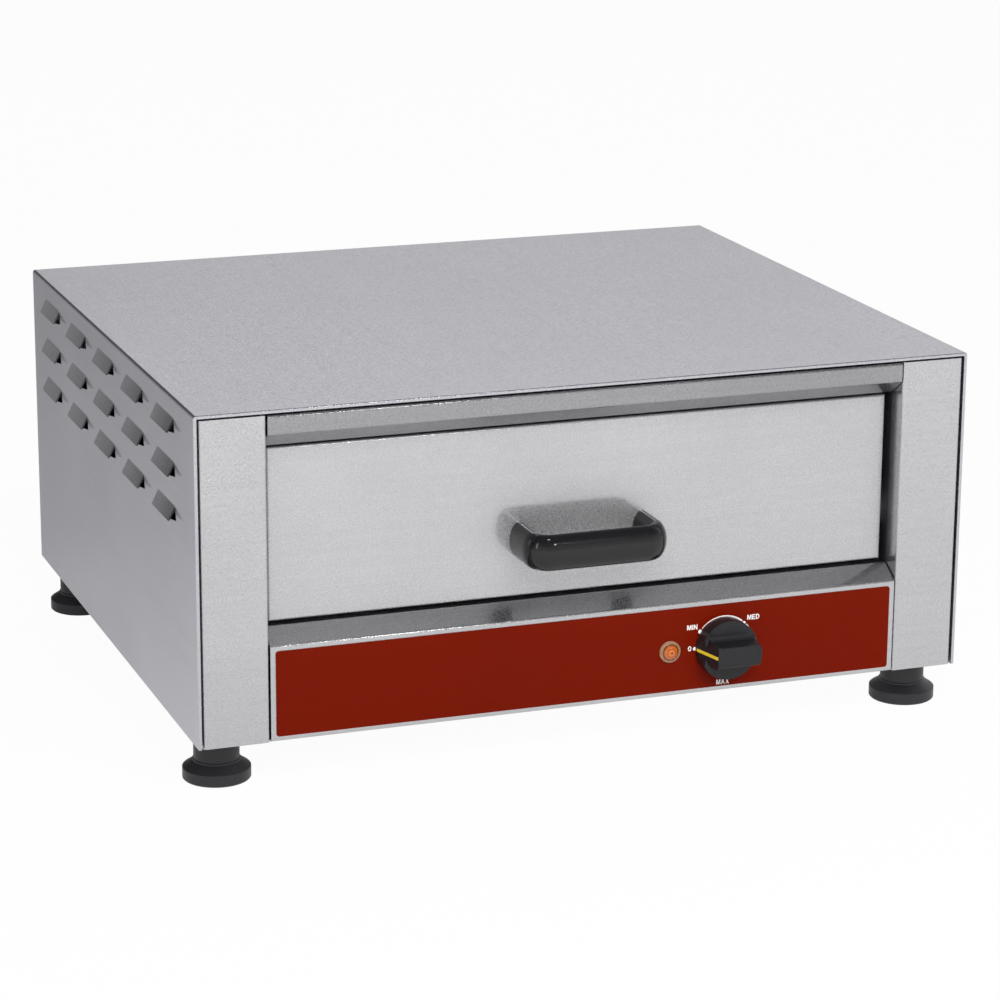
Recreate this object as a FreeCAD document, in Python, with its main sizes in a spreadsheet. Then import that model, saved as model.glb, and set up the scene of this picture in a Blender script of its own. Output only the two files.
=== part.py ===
import FreeCAD, Part
import math
import os
import re
import Sketcher

# Counter-top bun warmer: a folded steel cabinet on four feet, with a heated drawer,
# a thermostat knob and a pilot lamp. Millimetres, +X to the right, +Y to the back, +Z up.
# The origin is on the ground under the middle of the whole object.

# Driving dimensions
SIZES = {
    # cabinet
    "case_width": 545.0,
    "case_depth": 460.0,
    "case_height": 223.5,
    "foot_height": 33.0,
    "skin": 1.0,
    "case_bend": 2.0,
    "hem_fold": 1.2,
    "hem_depth": 12.0,
    "edge_soft": 0.7,
    "rear_inset": 2.0,
    "rear_flange": 12.0,
    "bottom_flange": 14.0,
    # louvres in both sides
    "louvre_margin": 25.0,
    "louvre_rows": 3.0,
    "louvre_first": 49.5,
    "louvre_pitch": 81.2,
    "louvre_step": 29.5,
    "louvre_length": 42.8,
    "louvre_roof_gap": 12.9,
    "louvre_drop": 9.8,
    "louvre_stand": 4.8,
    "louvre_slot": 12.6,
    "louvre_bow": 14.0,
    "louvre_ease": 0.5,
    "louvre_flare": 2.5,
    # front frame
    "sheet": 1.0,
    "bend": 2.0,
    "post_gap": 1.3,
    "post_width": 44.5,
    "post_return": 16.0,
    "post_lap": 32.0,
    "tab_inset": 3.0,
    "tab_depth": 28.0,
    "seam": 0.8,
    "rail_face": 13.0,
    "rail_drop": 11.5,
    "panel_face": 65.5,
    "apron_rise": 9.0,
    "label_margin": 3.5,
    "label_thickness": 0.5,
    "label_corner": 2.0,
    # heated chamber
    "service_gap": 29.0,
    "wall_start": 6.0,
    "floor_wing": 12.0,
    "tube_diameter": 8.0,
    "tube_height": 9.5,
    "element_bend": 30.0,
    "element_front": 70.0,
    "element_legs": 60.0,
    "element_rear_gap": 61.0,
    "element_turn": 130.0,
    "insulator_diameter": 14.0,
    "insulator_length": 11.0,
    "insulator_grip": 7.0,
    "connector_pin": 3.0,
    "connector_collar": 6.0,
    "connector_reach": 8.0,
    "support_width": 12.0,
    "support_reach": 162.0,
    "seat_gap": 0.2,
    # drawer
    "drawer_recess": 17.0,
    "drawer_side_gap": 4.5,
    "drawer_top_gap": 1.2,
    "drawer_low_gap": 2.5,
    "drawer_rim": 15.0,
    "drawer_bend": 1.6,
    "runner_space": 12.5,
    "box_lift": 18.0,
    "box_top_gap": 14.3,
    "box_rear_gap": 11.0,
    "box_ledge": 26.0,
    "tray_gap": 1.0,
    "tray_height": 30.0,
    "tray_hole": 8.0,
    "tray_hole_pitch": 32.0,
    "tray_corner": 3.0,
    "tray_margin": 32.0,
    "tray_end_margin": 28.0,
    "tray_side_margin": 26.0,
    # handle
    "handle_reach": 42.0,
    "handle_centres": 88.0,
    "handle_thick": 13.4,
    "handle_tall": 24.6,
    "handle_bend": 11.0,
    "handle_height": 116.2,
    "handle_shift": -2.5,
    "handle_screw": 5.0,
    # runners and rollers
    "runner_steel": 1.5,
    "runner_lift": 5.0,
    "runner_gap": 16.0,
    "runner_width": 10.0,
    "runner_start": 34.0,
    "runner_rear_gap": 6.0,
    "rail_clear": 0.3,
    "rail_reach": 9.0,
    "roller_diameter": 13.6,
    "roller_width": 6.0,
    "roller_pin": 5.0,
    "pin_clear": 0.05,
    "pin_head": 8.0,
    "front_roller_place": 43.0,
    "rear_roller_inset": 10.0,
    # controls
    "control_height": 32.2,
    "lamp_place": 56.4,
    "lamp_diameter": 15.2,
    "lamp_hole": 13.4,
    "lamp_length": 28.0,
    "bezel_side": 1.2,
    "bezel_rise": 2.1,
    "bezel_edge": 1.4,
    "lens_side": 1.9,
    "lens_rise": 4.4,
    "knob_place": 96.0,
    "knob_diameter": 41.4,
    "knob_reach": 26.4,
    "knob_gap": 1.3,
    "skirt_depth": 11.5,
    "slope_start": 3.0,
    "wing_width": 14.4,
    "wing_start": 14.6,
    "wing_end": 17.4,
    "pointer_width": 2.2,
    "scoop_start": 16.5,
    "scoop_corner": 4.5,
    "scoop_round": 3.5,
    "moulded_edge": 0.5,
    "shaft_diameter": 6.0,
    "shaft_hole": 10.0,
    "thermostat_width": 34.0,
    "thermostat_tall": 40.0,
    "thermostat_deep": 36.0,
    "thermostat_off": 6.0,
    "stud_pitch": 28.0,
    "boss_flats": 14.0,
    "boss_depth": 3.0,
    "shaft_cover": 7.0,
    "shaft_depth": 16.0,
    "shaft_socket": 20.0,
    "bulb_diameter": 6.0,
    "bulb_length": 80.0,
    "bulb_start": 110.0,
    "bulb_wall_gap": 25.5,
    "capillary_diameter": 2.0,
    # mains entry
    "gland_inset": 102.5,
    "gland_height": 36.0,
    "gland_thread": 20.0,
    "gland_bore": 10.0,
    "gland_reach": 16.0,
    "gland_flats": 24.0,
    "gland_flange": 5.0,
    "gland_inside": 10.0,
    "locknut_height": 4.5,
    "earth_inset": 57.5,
    "earth_stud": 6.0,
    "earth_end": 5.4,
    "earth_inside": 13.0,
    "earth_shoulder": 5.0,
    "earth_free": 6.0,
    "earth_nut_flats": 10.0,
    "earth_nut_height": 4.0,
    "block_width": 42.0,
    "block_depth": 20.0,
    "block_tall": 18.0,
    "block_base": 9.9,
    "block_screw": 5.0,
    "block_screw_depth": 6.0,
    "block_inset": 46.0,
    "wire_diameter": 2.6,
    # feet
    "foot_inset_side": 21.5,
    "foot_inset_front": 36.5,
    "foot_diameter": 45.6,
    "foot_rim": 8.6,
    "foot_cone": 12.6,
    "foot_hub": 30.6,
    "foot_hub_top": 25.0,
    "foot_stud": 10.0,
    "foot_stud_top": 48.0,
    "foot_nut_flats": 17.0,
    "foot_nut_height": 7.0,
    "foot_room": 14.0,
    # fasteners
    "screw_diameter": 4.0,
    "screw_head": 7.0,
    "screw_head_tall": 2.2,
    "screw_clear": 0.1,
}

# Places worked out from the sizes. Heights count from the cabinet's lower edge.
PLACES = {
    "half_width": "case_width / 2",
    "reach_front": "max(handle_reach - drawer_recess; knob_reach)",
    "front_y": "(reach_front - case_depth - gland_reach) / 2",
    "post_outer": "half_width - skin - hem_fold - post_gap",
    "opening_half": "post_outer - post_width",
    "rail_top": "case_height - skin - hem_fold - post_gap",
    "rail_low": "rail_top - rail_face",
    "rail_lip": "rail_low - rail_drop",
    "rail_slant": "sheet * sqrt(1 + (rail_drop / post_return)^2)",
    "apron_top": "panel_face + apron_rise",
    "apron_slope": "apron_rise / post_return",
    "apron_slant": "sheet * sqrt(1 + apron_slope^2)",
    "front_half": "opening_half - seam",
    "chamber_half": "opening_half + sheet",
    "chamber_roof": "rail_low - sheet",
    "chamber_base": "apron_top - sheet",
    "chamber_end": "case_depth - service_gap",
    "rear_face": "case_depth - rear_inset",
    "tube_level": "chamber_base + tube_height",
    "drawer_half": "opening_half - drawer_side_gap",
    "drawer_low": "apron_top + drawer_low_gap",
    "drawer_high": "rail_lip - drawer_top_gap",
    "box_front": "drawer_recess + drawer_rim",
    "box_half": "opening_half - runner_space",
    "box_low": "drawer_low + box_lift",
    "box_back": "chamber_end - box_rear_gap",
    "box_height": "drawer_high - box_top_gap - box_low",
    "rail_face_out": "box_half + runner_steel",
    "runner_low": "box_low + runner_lift",
    "runner_floor": "runner_low + runner_steel",
    "runner_roof": "runner_floor + runner_gap",
    "roller_level": "runner_floor + rail_clear + roller_diameter / 2",
    "rail_under": "roller_level + roller_diameter / 2 + rail_clear",
    "slope_lean": "(knob_diameter / 2 - wing_start) / (knob_reach - slope_start)",
    "tray_half": "box_half - sheet - tray_gap",
    "tray_front": "box_front + sheet + tray_gap",
    "tray_back": "box_back - sheet - tray_gap",
    "tray_columns": "floor(2 * (tray_half - tray_side_margin) / tray_hole_pitch) + 1",
    "tray_span": "tray_back - tray_front - tray_margin - tray_end_margin",
    "tray_lines": "floor(tray_span / tray_hole_pitch) + 1",
    "runner_end": "chamber_end - runner_rear_gap",
    "rear_roller_place": "box_back - rear_roller_inset",
    "louvre_top": "case_height - louvre_roof_gap",
    "louvre_span": "case_depth - louvre_first - louvre_length - louvre_margin",
    "louvre_columns": "floor(louvre_span / louvre_pitch) + 1",
    "element_back": "chamber_end - element_rear_gap",
    "gland_place": "half_width - gland_inset",
    "earth_place": "half_width - earth_inset",
    "block_place": "chamber_end - block_inset",
    "bulb_side": "chamber_half - bulb_wall_gap",
    "bulb_level": "chamber_base + 6.5",
    "rear_hole": "screw_diameter + 2 * screw_clear",
    "foot_across": "half_width - foot_inset_side",
    "foot_back": "case_depth - foot_inset_front",
    "stud_hole": "foot_stud + 2",
}

# Rows of fixings: heights on the back cover, and places along the depth or the width
REAR_SIDE_SCREWS = ("60", "case_height - 58.5")
REAR_TOP_SCREWS = ("-150", "150")
BASE_SIDE_SCREWS = ("110", "case_depth - 210", "case_depth - 70")
BASE_FRONT_SCREWS = ("-120", "120")
RUNNER_RIVETS = ("90", "runner_end - 195", "runner_end - 55")
DRAWER_RIVETS = ("60", "box_back - 200", "box_back - 40")
# Hole for the element's wire: across, up, diameter
WIRE_HOLE = ("120", "20", "14")

doc = FreeCAD.newDocument("BunWarmer")
sheet = doc.addObject("Spreadsheet::Sheet", "Sizes")
for row, (alias, number) in enumerate(SIZES.items(), start=1):
    cell = "B%d" % row
    sheet.set(cell, "%g" % number)
    sheet.setAlias(cell, alias)
doc.recompute()

NODES = []
CABINET = ("0", "front_y", "foot_height")


def spell(text):
    """Spell a formula of plain names out as one that reads the spreadsheet."""
    def swap(match):
        word = match.group(0)
        if word in PLACES:
            return "(" + spell(PLACES[word]) + ")"
        if word in SIZES:
            return "Sizes." + word
        return word
    return re.sub(r"[a-z_]+", swap, str(text))


def value(text):
    """The number that a formula gives now."""
    return float(sheet.evalExpression(spell(text)))


def keep(thing, name):
    """Name a finished sub-part and list it for export."""
    thing.Label = name
    NODES.append(thing)
    return thing


def place(thing, at):
    """Bind the place of a body or primitive to the sizes."""
    for axis, text in zip("xyz", at):
        thing.setExpression("Placement.Base." + axis, spell(text))


def new_body(name, at=CABINET):
    """An empty body that becomes one node."""
    body = doc.addObject("PartDesign::Body", name)
    place(body, at)
    return keep(body, name)


def new_sketch(body, plane, start="0"):
    """A sketch on one of the body's own planes, moved along that plane's axis."""
    sketch = body.newObject("Sketcher::SketchObject", body.Name + "_sketch")
    origin = [item for item in body.Origin.OriginFeatures if item.Role == plane][0]
    sketch.AttachmentSupport = (origin, [""])
    sketch.MapMode = "FlatFace"
    sign = "-" if plane == "XZ_Plane" else ""
    sketch.setExpression("AttachmentOffset.Base.z", sign + "(" + spell(start) + ")")
    return sketch


def pin(sketch, edge, end, spot):
    """Hold one end of a sketch edge at a place given by two formulas."""
    for kind, text in zip(("DistanceX", "DistanceY"), spot):
        number = sketch.addConstraint(
            Sketcher.Constraint(kind, -1, 1, edge, end, value(text)))
        name = "%s_%d" % (kind, number)
        sketch.renameConstraint(number, name)
        sketch.setExpression("Constraints." + name, spell(text))


def arc_between(start, finish, radius, side):
    """The short arc between two points, its centre left (1) or right (-1) of the way."""
    chord = finish - start
    middle = (start + finish) * 0.5
    rise = math.sqrt(max(radius ** 2 - (chord.Length / 2) ** 2, 0.0))
    across = FreeCAD.Vector(-chord.y, chord.x, 0).normalize()
    centre = middle + across * (rise * side)
    first, last = (start, finish) if side > 0 else (finish, start)
    angles = [math.atan2(point.y - centre.y, point.x - centre.x) for point in (first, last)]
    circle = Part.Circle(centre, FreeCAD.Vector(0, 0, 1), radius)
    return Part.ArcOfCircle(circle, angles[0], angles[1])


def draw(sketch, points, closed=True):
    """Draw an outline. A point may add a radius and a side, which make its next edge an arc."""
    spots = [FreeCAD.Vector(value(point[0]), value(point[1]), 0) for point in points]
    count = len(points) if closed else len(points) - 1
    ends = []
    for number in range(count):
        following = (number + 1) % len(points)
        arc = points[number][2:]
        if arc:
            radius, side = arc
            shape = arc_between(spots[number], spots[following], value(radius), side)
        else:
            shape = Part.LineSegment(spots[number], spots[following])
        edge = sketch.addGeometry(shape, False)
        turned = bool(arc) and arc[1] < 0
        ends.append((edge, 2 if turned else 1, 1 if turned else 2))
        if arc:
            limit = sketch.addConstraint(Sketcher.Constraint("Radius", edge, value(radius)))
            sketch.renameConstraint(limit, "radius_%d" % limit)
            sketch.setExpression("Constraints.radius_%d" % limit, spell(radius))
    for number in range(count):
        edge, first, last = ends[number]
        pin(sketch, edge, first, points[number][:2])
        if closed or number + 1 < count:
            after, after_first, after_last = ends[(number + 1) % count]
            sketch.addConstraint(Sketcher.Constraint("Coincident", edge, last, after, after_first))
    if not closed:
        edge, first, last = ends[-1]
        pin(sketch, edge, last, points[-1][:2])


def draw_circle(sketch, across, along, diameter):
    """Draw a circle at a place given by two formulas."""
    centre = FreeCAD.Vector(value(across), value(along), 0)
    circle = Part.Circle(centre, FreeCAD.Vector(0, 0, 1), value(diameter) / 2)
    edge = sketch.addGeometry(circle, False)
    pin(sketch, edge, 3, (across, along))
    number = sketch.addConstraint(Sketcher.Constraint("Diameter", edge, value(diameter)))
    sketch.renameConstraint(number, "across_%d" % number)
    sketch.setExpression("Constraints.across_%d" % number, spell(diameter))


def box_points(left, right, low, high):
    """The four corners of a rectangle."""
    return [(left, low), (right, low), (right, high), (left, high)]


def rounded_box(half, low, high, radius):
    """Outline of a box centred across, with round corners."""
    inset = "(%s) - (%s)" % (half, radius)
    front, rear = "%s + (%s)" % (low, radius), "%s - (%s)" % (high, radius)
    return [("-(%s)" % inset, low), (inset, low, radius, 1), (half, front),
            (half, rear, radius, 1), (inset, high), ("-(%s)" % inset, high, radius, 1),
            ("-(%s)" % half, rear), ("-(%s)" % half, front, radius, 1)]


def channel_points(half, low, high, thickness):
    """An upturned channel: two legs joined across the top."""
    inner = "%s - %s" % (half, thickness)
    roof = "%s - %s" % (high, thickness)
    return [("-(%s)" % half, low), ("-(%s)" % half, high), (half, high), (half, low),
            (inner, low), (inner, roof), ("-(%s)" % inner, roof), ("-(%s)" % inner, low)]


def add(body, plane, start, length, points):
    """Pad an outline from a start along the plane's axis, towards its positive end."""
    sketch = new_sketch(body, plane, start)
    draw(sketch, points)
    feature = body.newObject("PartDesign::Pad", body.Name + "_pad")
    feature.Profile = sketch
    feature.setExpression("Length", spell(length))
    feature.Reversed = plane == "XZ_Plane"
    return feature


def cut(body, plane, start, length, outlines=(), circles=()):
    """Cut outlines and circles away, and make sure that something was cut."""
    doc.recompute()
    before = body.Shape.Volume
    sketch = new_sketch(body, plane, start)
    for points in outlines:
        draw(sketch, points)
    for circle in circles:
        draw_circle(sketch, *circle)
    feature = body.newObject("PartDesign::Pocket", body.Name + "_pocket")
    feature.Profile = sketch
    feature.setExpression("Length", spell(length))
    feature.Reversed = plane != "XZ_Plane"
    doc.recompute()
    if not body.Shape.Volume < before:
        raise RuntimeError(body.Name + ": nothing was cut")
    return feature


def turn(body, plane, axis, points):
    """Turn a half outline about an axis of its sketch."""
    sketch = new_sketch(body, plane)
    draw(sketch, points)
    feature = body.newObject("PartDesign::Revolution", body.Name + "_turned")
    feature.Profile = sketch
    feature.ReferenceAxis = (sketch, [axis])
    feature.Angle = 360.0
    return feature


def edges_along(shape, axis, spots):
    """Names of the straight edges along one axis that pass the given pairs of places."""
    others = [name for name in "xyz" if name != axis]
    found = []
    for spot in spots:
        target = [value(text) for text in spot]
        names = []
        for number, edge in enumerate(shape.Edges, start=1):
            if edge.Curve.TypeId != "Part::GeomLine":
                continue
            if abs(abs(getattr(edge.Curve.Direction, axis)) - 1) > 1e-6:
                continue
            point = edge.Vertexes[0].Point
            if all(abs(getattr(point, o) - t) < 1e-4 for o, t in zip(others, target)):
                names.append("Edge%d" % number)
        if not names:
            raise RuntimeError("no edge along %s at %s" % (axis, spot))
        found += names
    return found


def round_edges(body, radius, names):
    """Round the named edges of the newest feature."""
    base = body.Tip
    feature = body.newObject("PartDesign::Fillet", body.Name + "_soft")
    feature.Base = (base, names)
    feature.setExpression("Radius", spell(radius))
    doc.recompute()


def soften(body, radius, picks):
    """Round the edges that pass the given spots. Each pick is an axis and its spots."""
    doc.recompute()
    names = []
    for axis, spots in picks:
        names += edges_along(body.Tip.Shape, axis, spots)
    round_edges(body, radius, names)


def mirrored(body, originals):
    """Repeat features on the other side of the middle plane."""
    feature = body.newObject("PartDesign::Mirrored", body.Name + "_mirror")
    feature.Originals = originals
    plane = [item for item in body.Origin.OriginFeatures if item.Role == "YZ_Plane"][0]
    feature.MirrorPlane = (plane, [""])
    body.Tip = feature
    return feature


def pattern(body, role, pitch, count, back=False):
    """A row of copies along an axis of the body, for use alone or in a grid."""
    feature = body.newObject("PartDesign::LinearPattern", body.Name + "_row")
    axis = [item for item in body.Origin.OriginFeatures if item.Role == role][0]
    feature.Direction = (axis, [""])
    feature.Reversed = back
    feature.setExpression("Length", spell("(%s) * (%s - 1)" % (pitch, count)))
    feature.setExpression("Occurrences", spell(count))
    return feature


def grid(body, originals, rows):
    """Repeat features in two directions, and mirror them where asked."""
    feature = body.newObject("PartDesign::MultiTransform", body.Name + "_grid")
    feature.Originals = originals
    feature.Transformations = rows
    body.Tip = feature
    return feature


def cylinder(name, radius, length, at, axis="z"):
    """A plain round bar from a place along one axis."""
    thing = doc.addObject("Part::Cylinder", name)
    thing.setExpression("Radius", spell(radius))
    thing.setExpression("Height", spell(length))
    turns = {"z": FreeCAD.Rotation(),
             "-z": FreeCAD.Rotation(FreeCAD.Vector(1, 0, 0), 180),
             "y": FreeCAD.Rotation(FreeCAD.Vector(1, 0, 0), -90),
             "-y": FreeCAD.Rotation(FreeCAD.Vector(1, 0, 0), 90),
             "x": FreeCAD.Rotation(FreeCAD.Vector(0, 1, 0), 90),
             "-x": FreeCAD.Rotation(FreeCAD.Vector(0, 1, 0), -90)}
    thing.Placement = FreeCAD.Placement(FreeCAD.Vector(), turns[axis])
    place(thing, at)
    return thing


def along(at, axis, distance):
    """A place moved along a signed axis by a formula."""
    moved = list(at)
    number = "xyz".index(axis[-1])
    sign = "-" if axis.startswith("-") else "+"
    moved[number] = "%s %s (%s)" % (moved[number], sign, distance)
    return tuple(moved)


def stepped(name, at, axis, steps):
    """A turned pin, screw or rivet: round steps one after the other from a place."""
    pieces = []
    begin = "0"
    for radius, length in steps:
        pieces.append(cylinder(name + "_step", radius, length, along(at, axis, begin), axis))
        begin = "%s + %s" % (begin, length)
    fuse = doc.addObject("Part::MultiFuse", name)
    fuse.Shapes = pieces
    return fuse


def group(name, things):
    """One node that holds several separate solids."""
    compound = doc.addObject("Part::Compound", name)
    compound.Links = things
    return keep(compound, name)


def in_cabinet(across, back, up):
    """A place in the cabinet's own frame, as one in the object's."""
    return (across, "front_y + " + back, "foot_height + " + up)


def hexagon(flats):
    """Corners of a hexagon with two flat sides up and down."""
    half = "(%s) / 2" % flats
    corner = "(%s) / sqrt(3)" % flats
    return [(corner, "0"), ("(%s) / 2" % corner, half), ("-(%s) / 2" % corner, half),
            ("-(%s)" % corner, "0"), ("-(%s) / 2" % corner, "-" + half),
            ("(%s) / 2" % corner, "-" + half)]


def outer_casing():
    """Folded wrap that makes the two sides and the top, with louvres in both sides."""
    body = new_body("outer_casing")
    add(body, "XZ_Plane", "0", "case_depth",
        channel_points("half_width", "0", "case_height", "skin"))
    soften(body, "case_bend", [("y", [("-half_width", "case_height"),
                                      ("half_width", "case_height")])])
    soften(body, "case_bend - skin",
           [("y", [("-(half_width - skin)", "case_height - skin"),
                   ("half_width - skin", "case_height - skin")])])
    add(body, "XZ_Plane", "0", "hem_depth",
        channel_points("half_width - skin", "0", "case_height - skin", "hem_fold"))
    soften(body, "edge_soft", [("x", [("0", "case_height")])])
    add(body, "XZ_Plane", "rear_face - 2 * sheet", "sheet",
        channel_points("half_width - skin", "2.5 * sheet", "case_height - skin", "rear_flange"))
    flange_in = "half_width - skin - bottom_flange"
    flange = add(body, "XY_Plane", "0", "skin",
                 box_points("half_width - skin", flange_in, "foot_inset_front + foot_room",
                            "foot_back - foot_room"))
    mirrored(body, [flange])
    hinge = "louvre_top"
    front, back = "louvre_first", "louvre_first + louvre_length"
    lip = "louvre_top - louvre_drop"
    flap = add(body, "XZ_Plane", front, "louvre_length",
               [("half_width - skin", hinge), ("half_width", hinge),
                ("half_width + louvre_stand", lip), ("half_width + louvre_stand - skin", lip),
                ("half_width - skin", "louvre_top - skin")])
    slot_low = "louvre_top - louvre_slot"
    slot = cut(body, "YZ_Plane", "half_width - skin", "skin",
               [[(front + " - louvre_ease", "louvre_top - skin"),
                 (front + " - louvre_flare", lip), (front + " + louvre_bow", slot_low),
                 (back + " - louvre_bow", slot_low), (back + " + louvre_flare", lip),
                 (back + " + louvre_ease", "louvre_top - skin")]])
    columns = pattern(body, "Y_Axis", "louvre_pitch", "louvre_columns")
    rows = pattern(body, "Z_Axis", "louvre_step", "louvre_rows", back=True)
    sides = body.newObject("PartDesign::Mirrored", "louvre_sides")
    middle = [item for item in body.Origin.OriginFeatures if item.Role == "YZ_Plane"][0]
    sides.MirrorPlane = (middle, [""])
    grid(body, [slot, flap], [columns, rows, sides])
    holes = [(side + " * (half_width - skin - rear_flange / 2)", up, "rear_hole")
             for side in ("-1", "1") for up in REAR_SIDE_SCREWS]
    holes += [(across, "case_height - skin - rear_flange / 2", "rear_hole")
              for across in REAR_TOP_SCREWS]
    cut(body, "XZ_Plane", "rear_face - 2 * sheet", "sheet", circles=holes)
    cut(body, "XY_Plane", "0", "skin",
        circles=[(side + " * (half_width - skin - bottom_flange / 2)", back, "rear_hole")
                 for side in ("-1", "1") for back in BASE_SIDE_SCREWS])


def base_plate():
    """Flat floor of the cabinet, lying on the flanges, with an upstand at the back."""
    body = new_body("base_plate")
    half = "post_outer + sheet"
    add(body, "XY_Plane", "sheet", "sheet",
        box_points("-(%s)" % half, half, "post_return + sheet", "rear_face - sheet"))
    rear = "half_width - skin - rear_flange - sheet"
    add(body, "XZ_Plane", "rear_face - 2 * sheet", "sheet",
        box_points("-(%s)" % rear, rear, "sheet", "14"))
    feet = [(side + " * foot_across", back, "stud_hole")
            for side in ("-1", "1") for back in ("foot_inset_front", "foot_back")]
    screws = [(side + " * (half_width - skin - bottom_flange / 2)", back, "rear_hole")
              for side in ("-1", "1") for back in BASE_SIDE_SCREWS]
    screws += [(across, "tab_depth - 6", "rear_hole") for across in BASE_FRONT_SCREWS]
    cut(body, "XY_Plane", "sheet", "sheet", circles=feet + screws)
    cut(body, "XZ_Plane", "rear_face - 2 * sheet", "sheet",
        circles=[(across, "8", "rear_hole") for across in REAR_TOP_SCREWS])


def rear_panel():
    """Flat back cover with the cable gland and the earth stud through it."""
    body = new_body("rear_panel")
    half = "half_width - skin - 0.5"
    add(body, "XZ_Plane", "rear_face - sheet", "sheet",
        box_points("-(%s)" % half, half, "0.5", "case_height - skin - 0.5"))
    holes = [(side + " * (half_width - skin - rear_flange / 2)", up, "rear_hole")
             for side in ("-1", "1") for up in REAR_SIDE_SCREWS]
    holes += [(across, up, "rear_hole") for across in REAR_TOP_SCREWS
              for up in ("8", "case_height - skin - rear_flange / 2")]
    holes += [("gland_place", "gland_height", "gland_thread + 0.4"),
              ("earth_place", "gland_height", "earth_stud + 0.4")]
    cut(body, "XZ_Plane", "rear_face - sheet", "sheet", circles=holes)


def pillar(name, side):
    """Folded upright beside the drawer opening, lapped onto the casing behind its hem."""
    body = new_body(name)
    behind_hem = "hem_depth + 0.6"
    outline = [("opening_half", "post_return"), ("opening_half", "0"), ("post_outer", "0"),
               ("post_outer", behind_hem), ("half_width - skin", behind_hem),
               ("half_width - skin", "post_lap"), ("half_width - skin - sheet", "post_lap"),
               ("half_width - skin - sheet", behind_hem + " + sheet"),
               ("post_outer - sheet", behind_hem + " + sheet"), ("post_outer - sheet", "sheet"),
               ("opening_half + sheet", "sheet"), ("opening_half + sheet", "post_return")]
    def sided(points):
        return [("%d * (%s)" % (side, across), back) for across, back in points]
    add(body, "XY_Plane", "0", "rail_top", sided(outline))
    edge, inner = "%d * post_outer" % side, "%d * opening_half" % side
    soften(body, "bend", [("z", [(edge, "0"), (inner, "0")])])
    soften(body, "bend - sheet",
           [("z", [("%d * (post_outer - sheet)" % side, "sheet"),
                   ("%d * (opening_half + sheet)" % side, "sheet")])])
    for low in ("0", "rail_top - sheet"):
        add(body, "XY_Plane", low, "sheet",
            sided(box_points("opening_half + tab_inset", "post_outer - tab_inset",
                             "sheet / 2", "tab_depth")))
    foot = ("%d * foot_across" % side, "foot_inset_front", "foot_nut_flats + 8")
    cut(body, "XY_Plane", "0", "sheet", circles=[foot])


def top_rail():
    """Folded rail over the drawer: a narrow face and a return that slopes down and back."""
    body = new_body("top_rail")
    slope = "rail_drop / post_return"
    outline = [("tab_depth", "rail_top"), ("0", "rail_top"), ("0", "rail_low"),
               ("post_return", "rail_lip"), ("post_return", "chamber_roof"),
               ("post_return - sheet", "chamber_roof"),
               ("post_return - sheet", "rail_lip + rail_slant + sheet * " + slope),
               ("sheet", "rail_low + rail_slant - sheet * " + slope),
               ("sheet", "rail_top - sheet"), ("tab_depth", "rail_top - sheet")]
    add(body, "YZ_Plane", "-(front_half)", "2 * front_half", outline)
    soften(body, "bend", [("x", [("0", "rail_top"), ("0", "rail_low")])])
    soften(body, "bend / 2", [("x", [("post_return", "rail_lip")])])


def control_panel():
    """Folded front of the control space, with an apron that rises to the drawer."""
    body = new_body("control_panel")
    outline = [("tab_depth", "0"), ("0", "0"), ("0", "panel_face"),
               ("post_return", "apron_top"), ("tab_depth", "apron_top"),
               ("tab_depth", "apron_top - sheet"),
               ("post_return + (apron_slant - sheet) / apron_slope", "apron_top - sheet"),
               ("sheet", "panel_face + sheet * apron_slope - apron_slant"),
               ("sheet", "sheet"), ("tab_depth", "sheet")]
    add(body, "YZ_Plane", "-(front_half)", "2 * front_half", outline)
    soften(body, "bend", [("x", [("0", "0"), ("0", "panel_face"), ("post_return", "apron_top")])])
    cut(body, "XZ_Plane", "0", "sheet",
        circles=[("lamp_place", "control_height", "lamp_hole"),
                 ("knob_place", "control_height", "shaft_hole")])
    cut(body, "XY_Plane", "0", "sheet",
        circles=[(across, "tab_depth - 6", "rear_hole") for across in BASE_FRONT_SCREWS])


def control_label():
    """Red film plate on the front of the control panel, with rounded corners."""
    body = new_body("control_label")
    half = "front_half - label_margin"
    low, high = "label_margin", "panel_face - label_margin"
    add(body, "XZ_Plane", "-label_thickness", "label_thickness",
        box_points("-(%s)" % half, half, low, high))
    soften(body, "label_corner",
           [("y", [("-(%s)" % half, low), (half, low), ("-(%s)" % half, high), (half, high)])])
    cut(body, "XZ_Plane", "-label_thickness", "label_thickness",
        circles=[("lamp_place", "control_height", "lamp_hole"),
                 ("knob_place", "control_height", "shaft_hole")])


def chamber_shell():
    """Inner liner of the heated chamber: two walls and a roof."""
    body = new_body("chamber_shell")
    add(body, "XZ_Plane", "wall_start", "chamber_end - sheet - wall_start",
        channel_points("chamber_half + sheet", "chamber_base", "rail_low", "sheet"))
    # The roof is notched where it passes the pillars.
    notch = ("opening_half - 0.5", "chamber_half", "wall_start", "post_return + 0.5")
    cut(body, "XY_Plane", "chamber_roof", "sheet",
        [box_points(*notch), box_points("-(chamber_half)", "-(opening_half - 0.5)", *notch[2:])])
    places = [(back, "roller_level", "rear_hole") for back in RUNNER_RIVETS]
    for start in ("chamber_half", "-(chamber_half + sheet)"):
        cut(body, "YZ_Plane", start, "sheet", circles=places)


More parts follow.
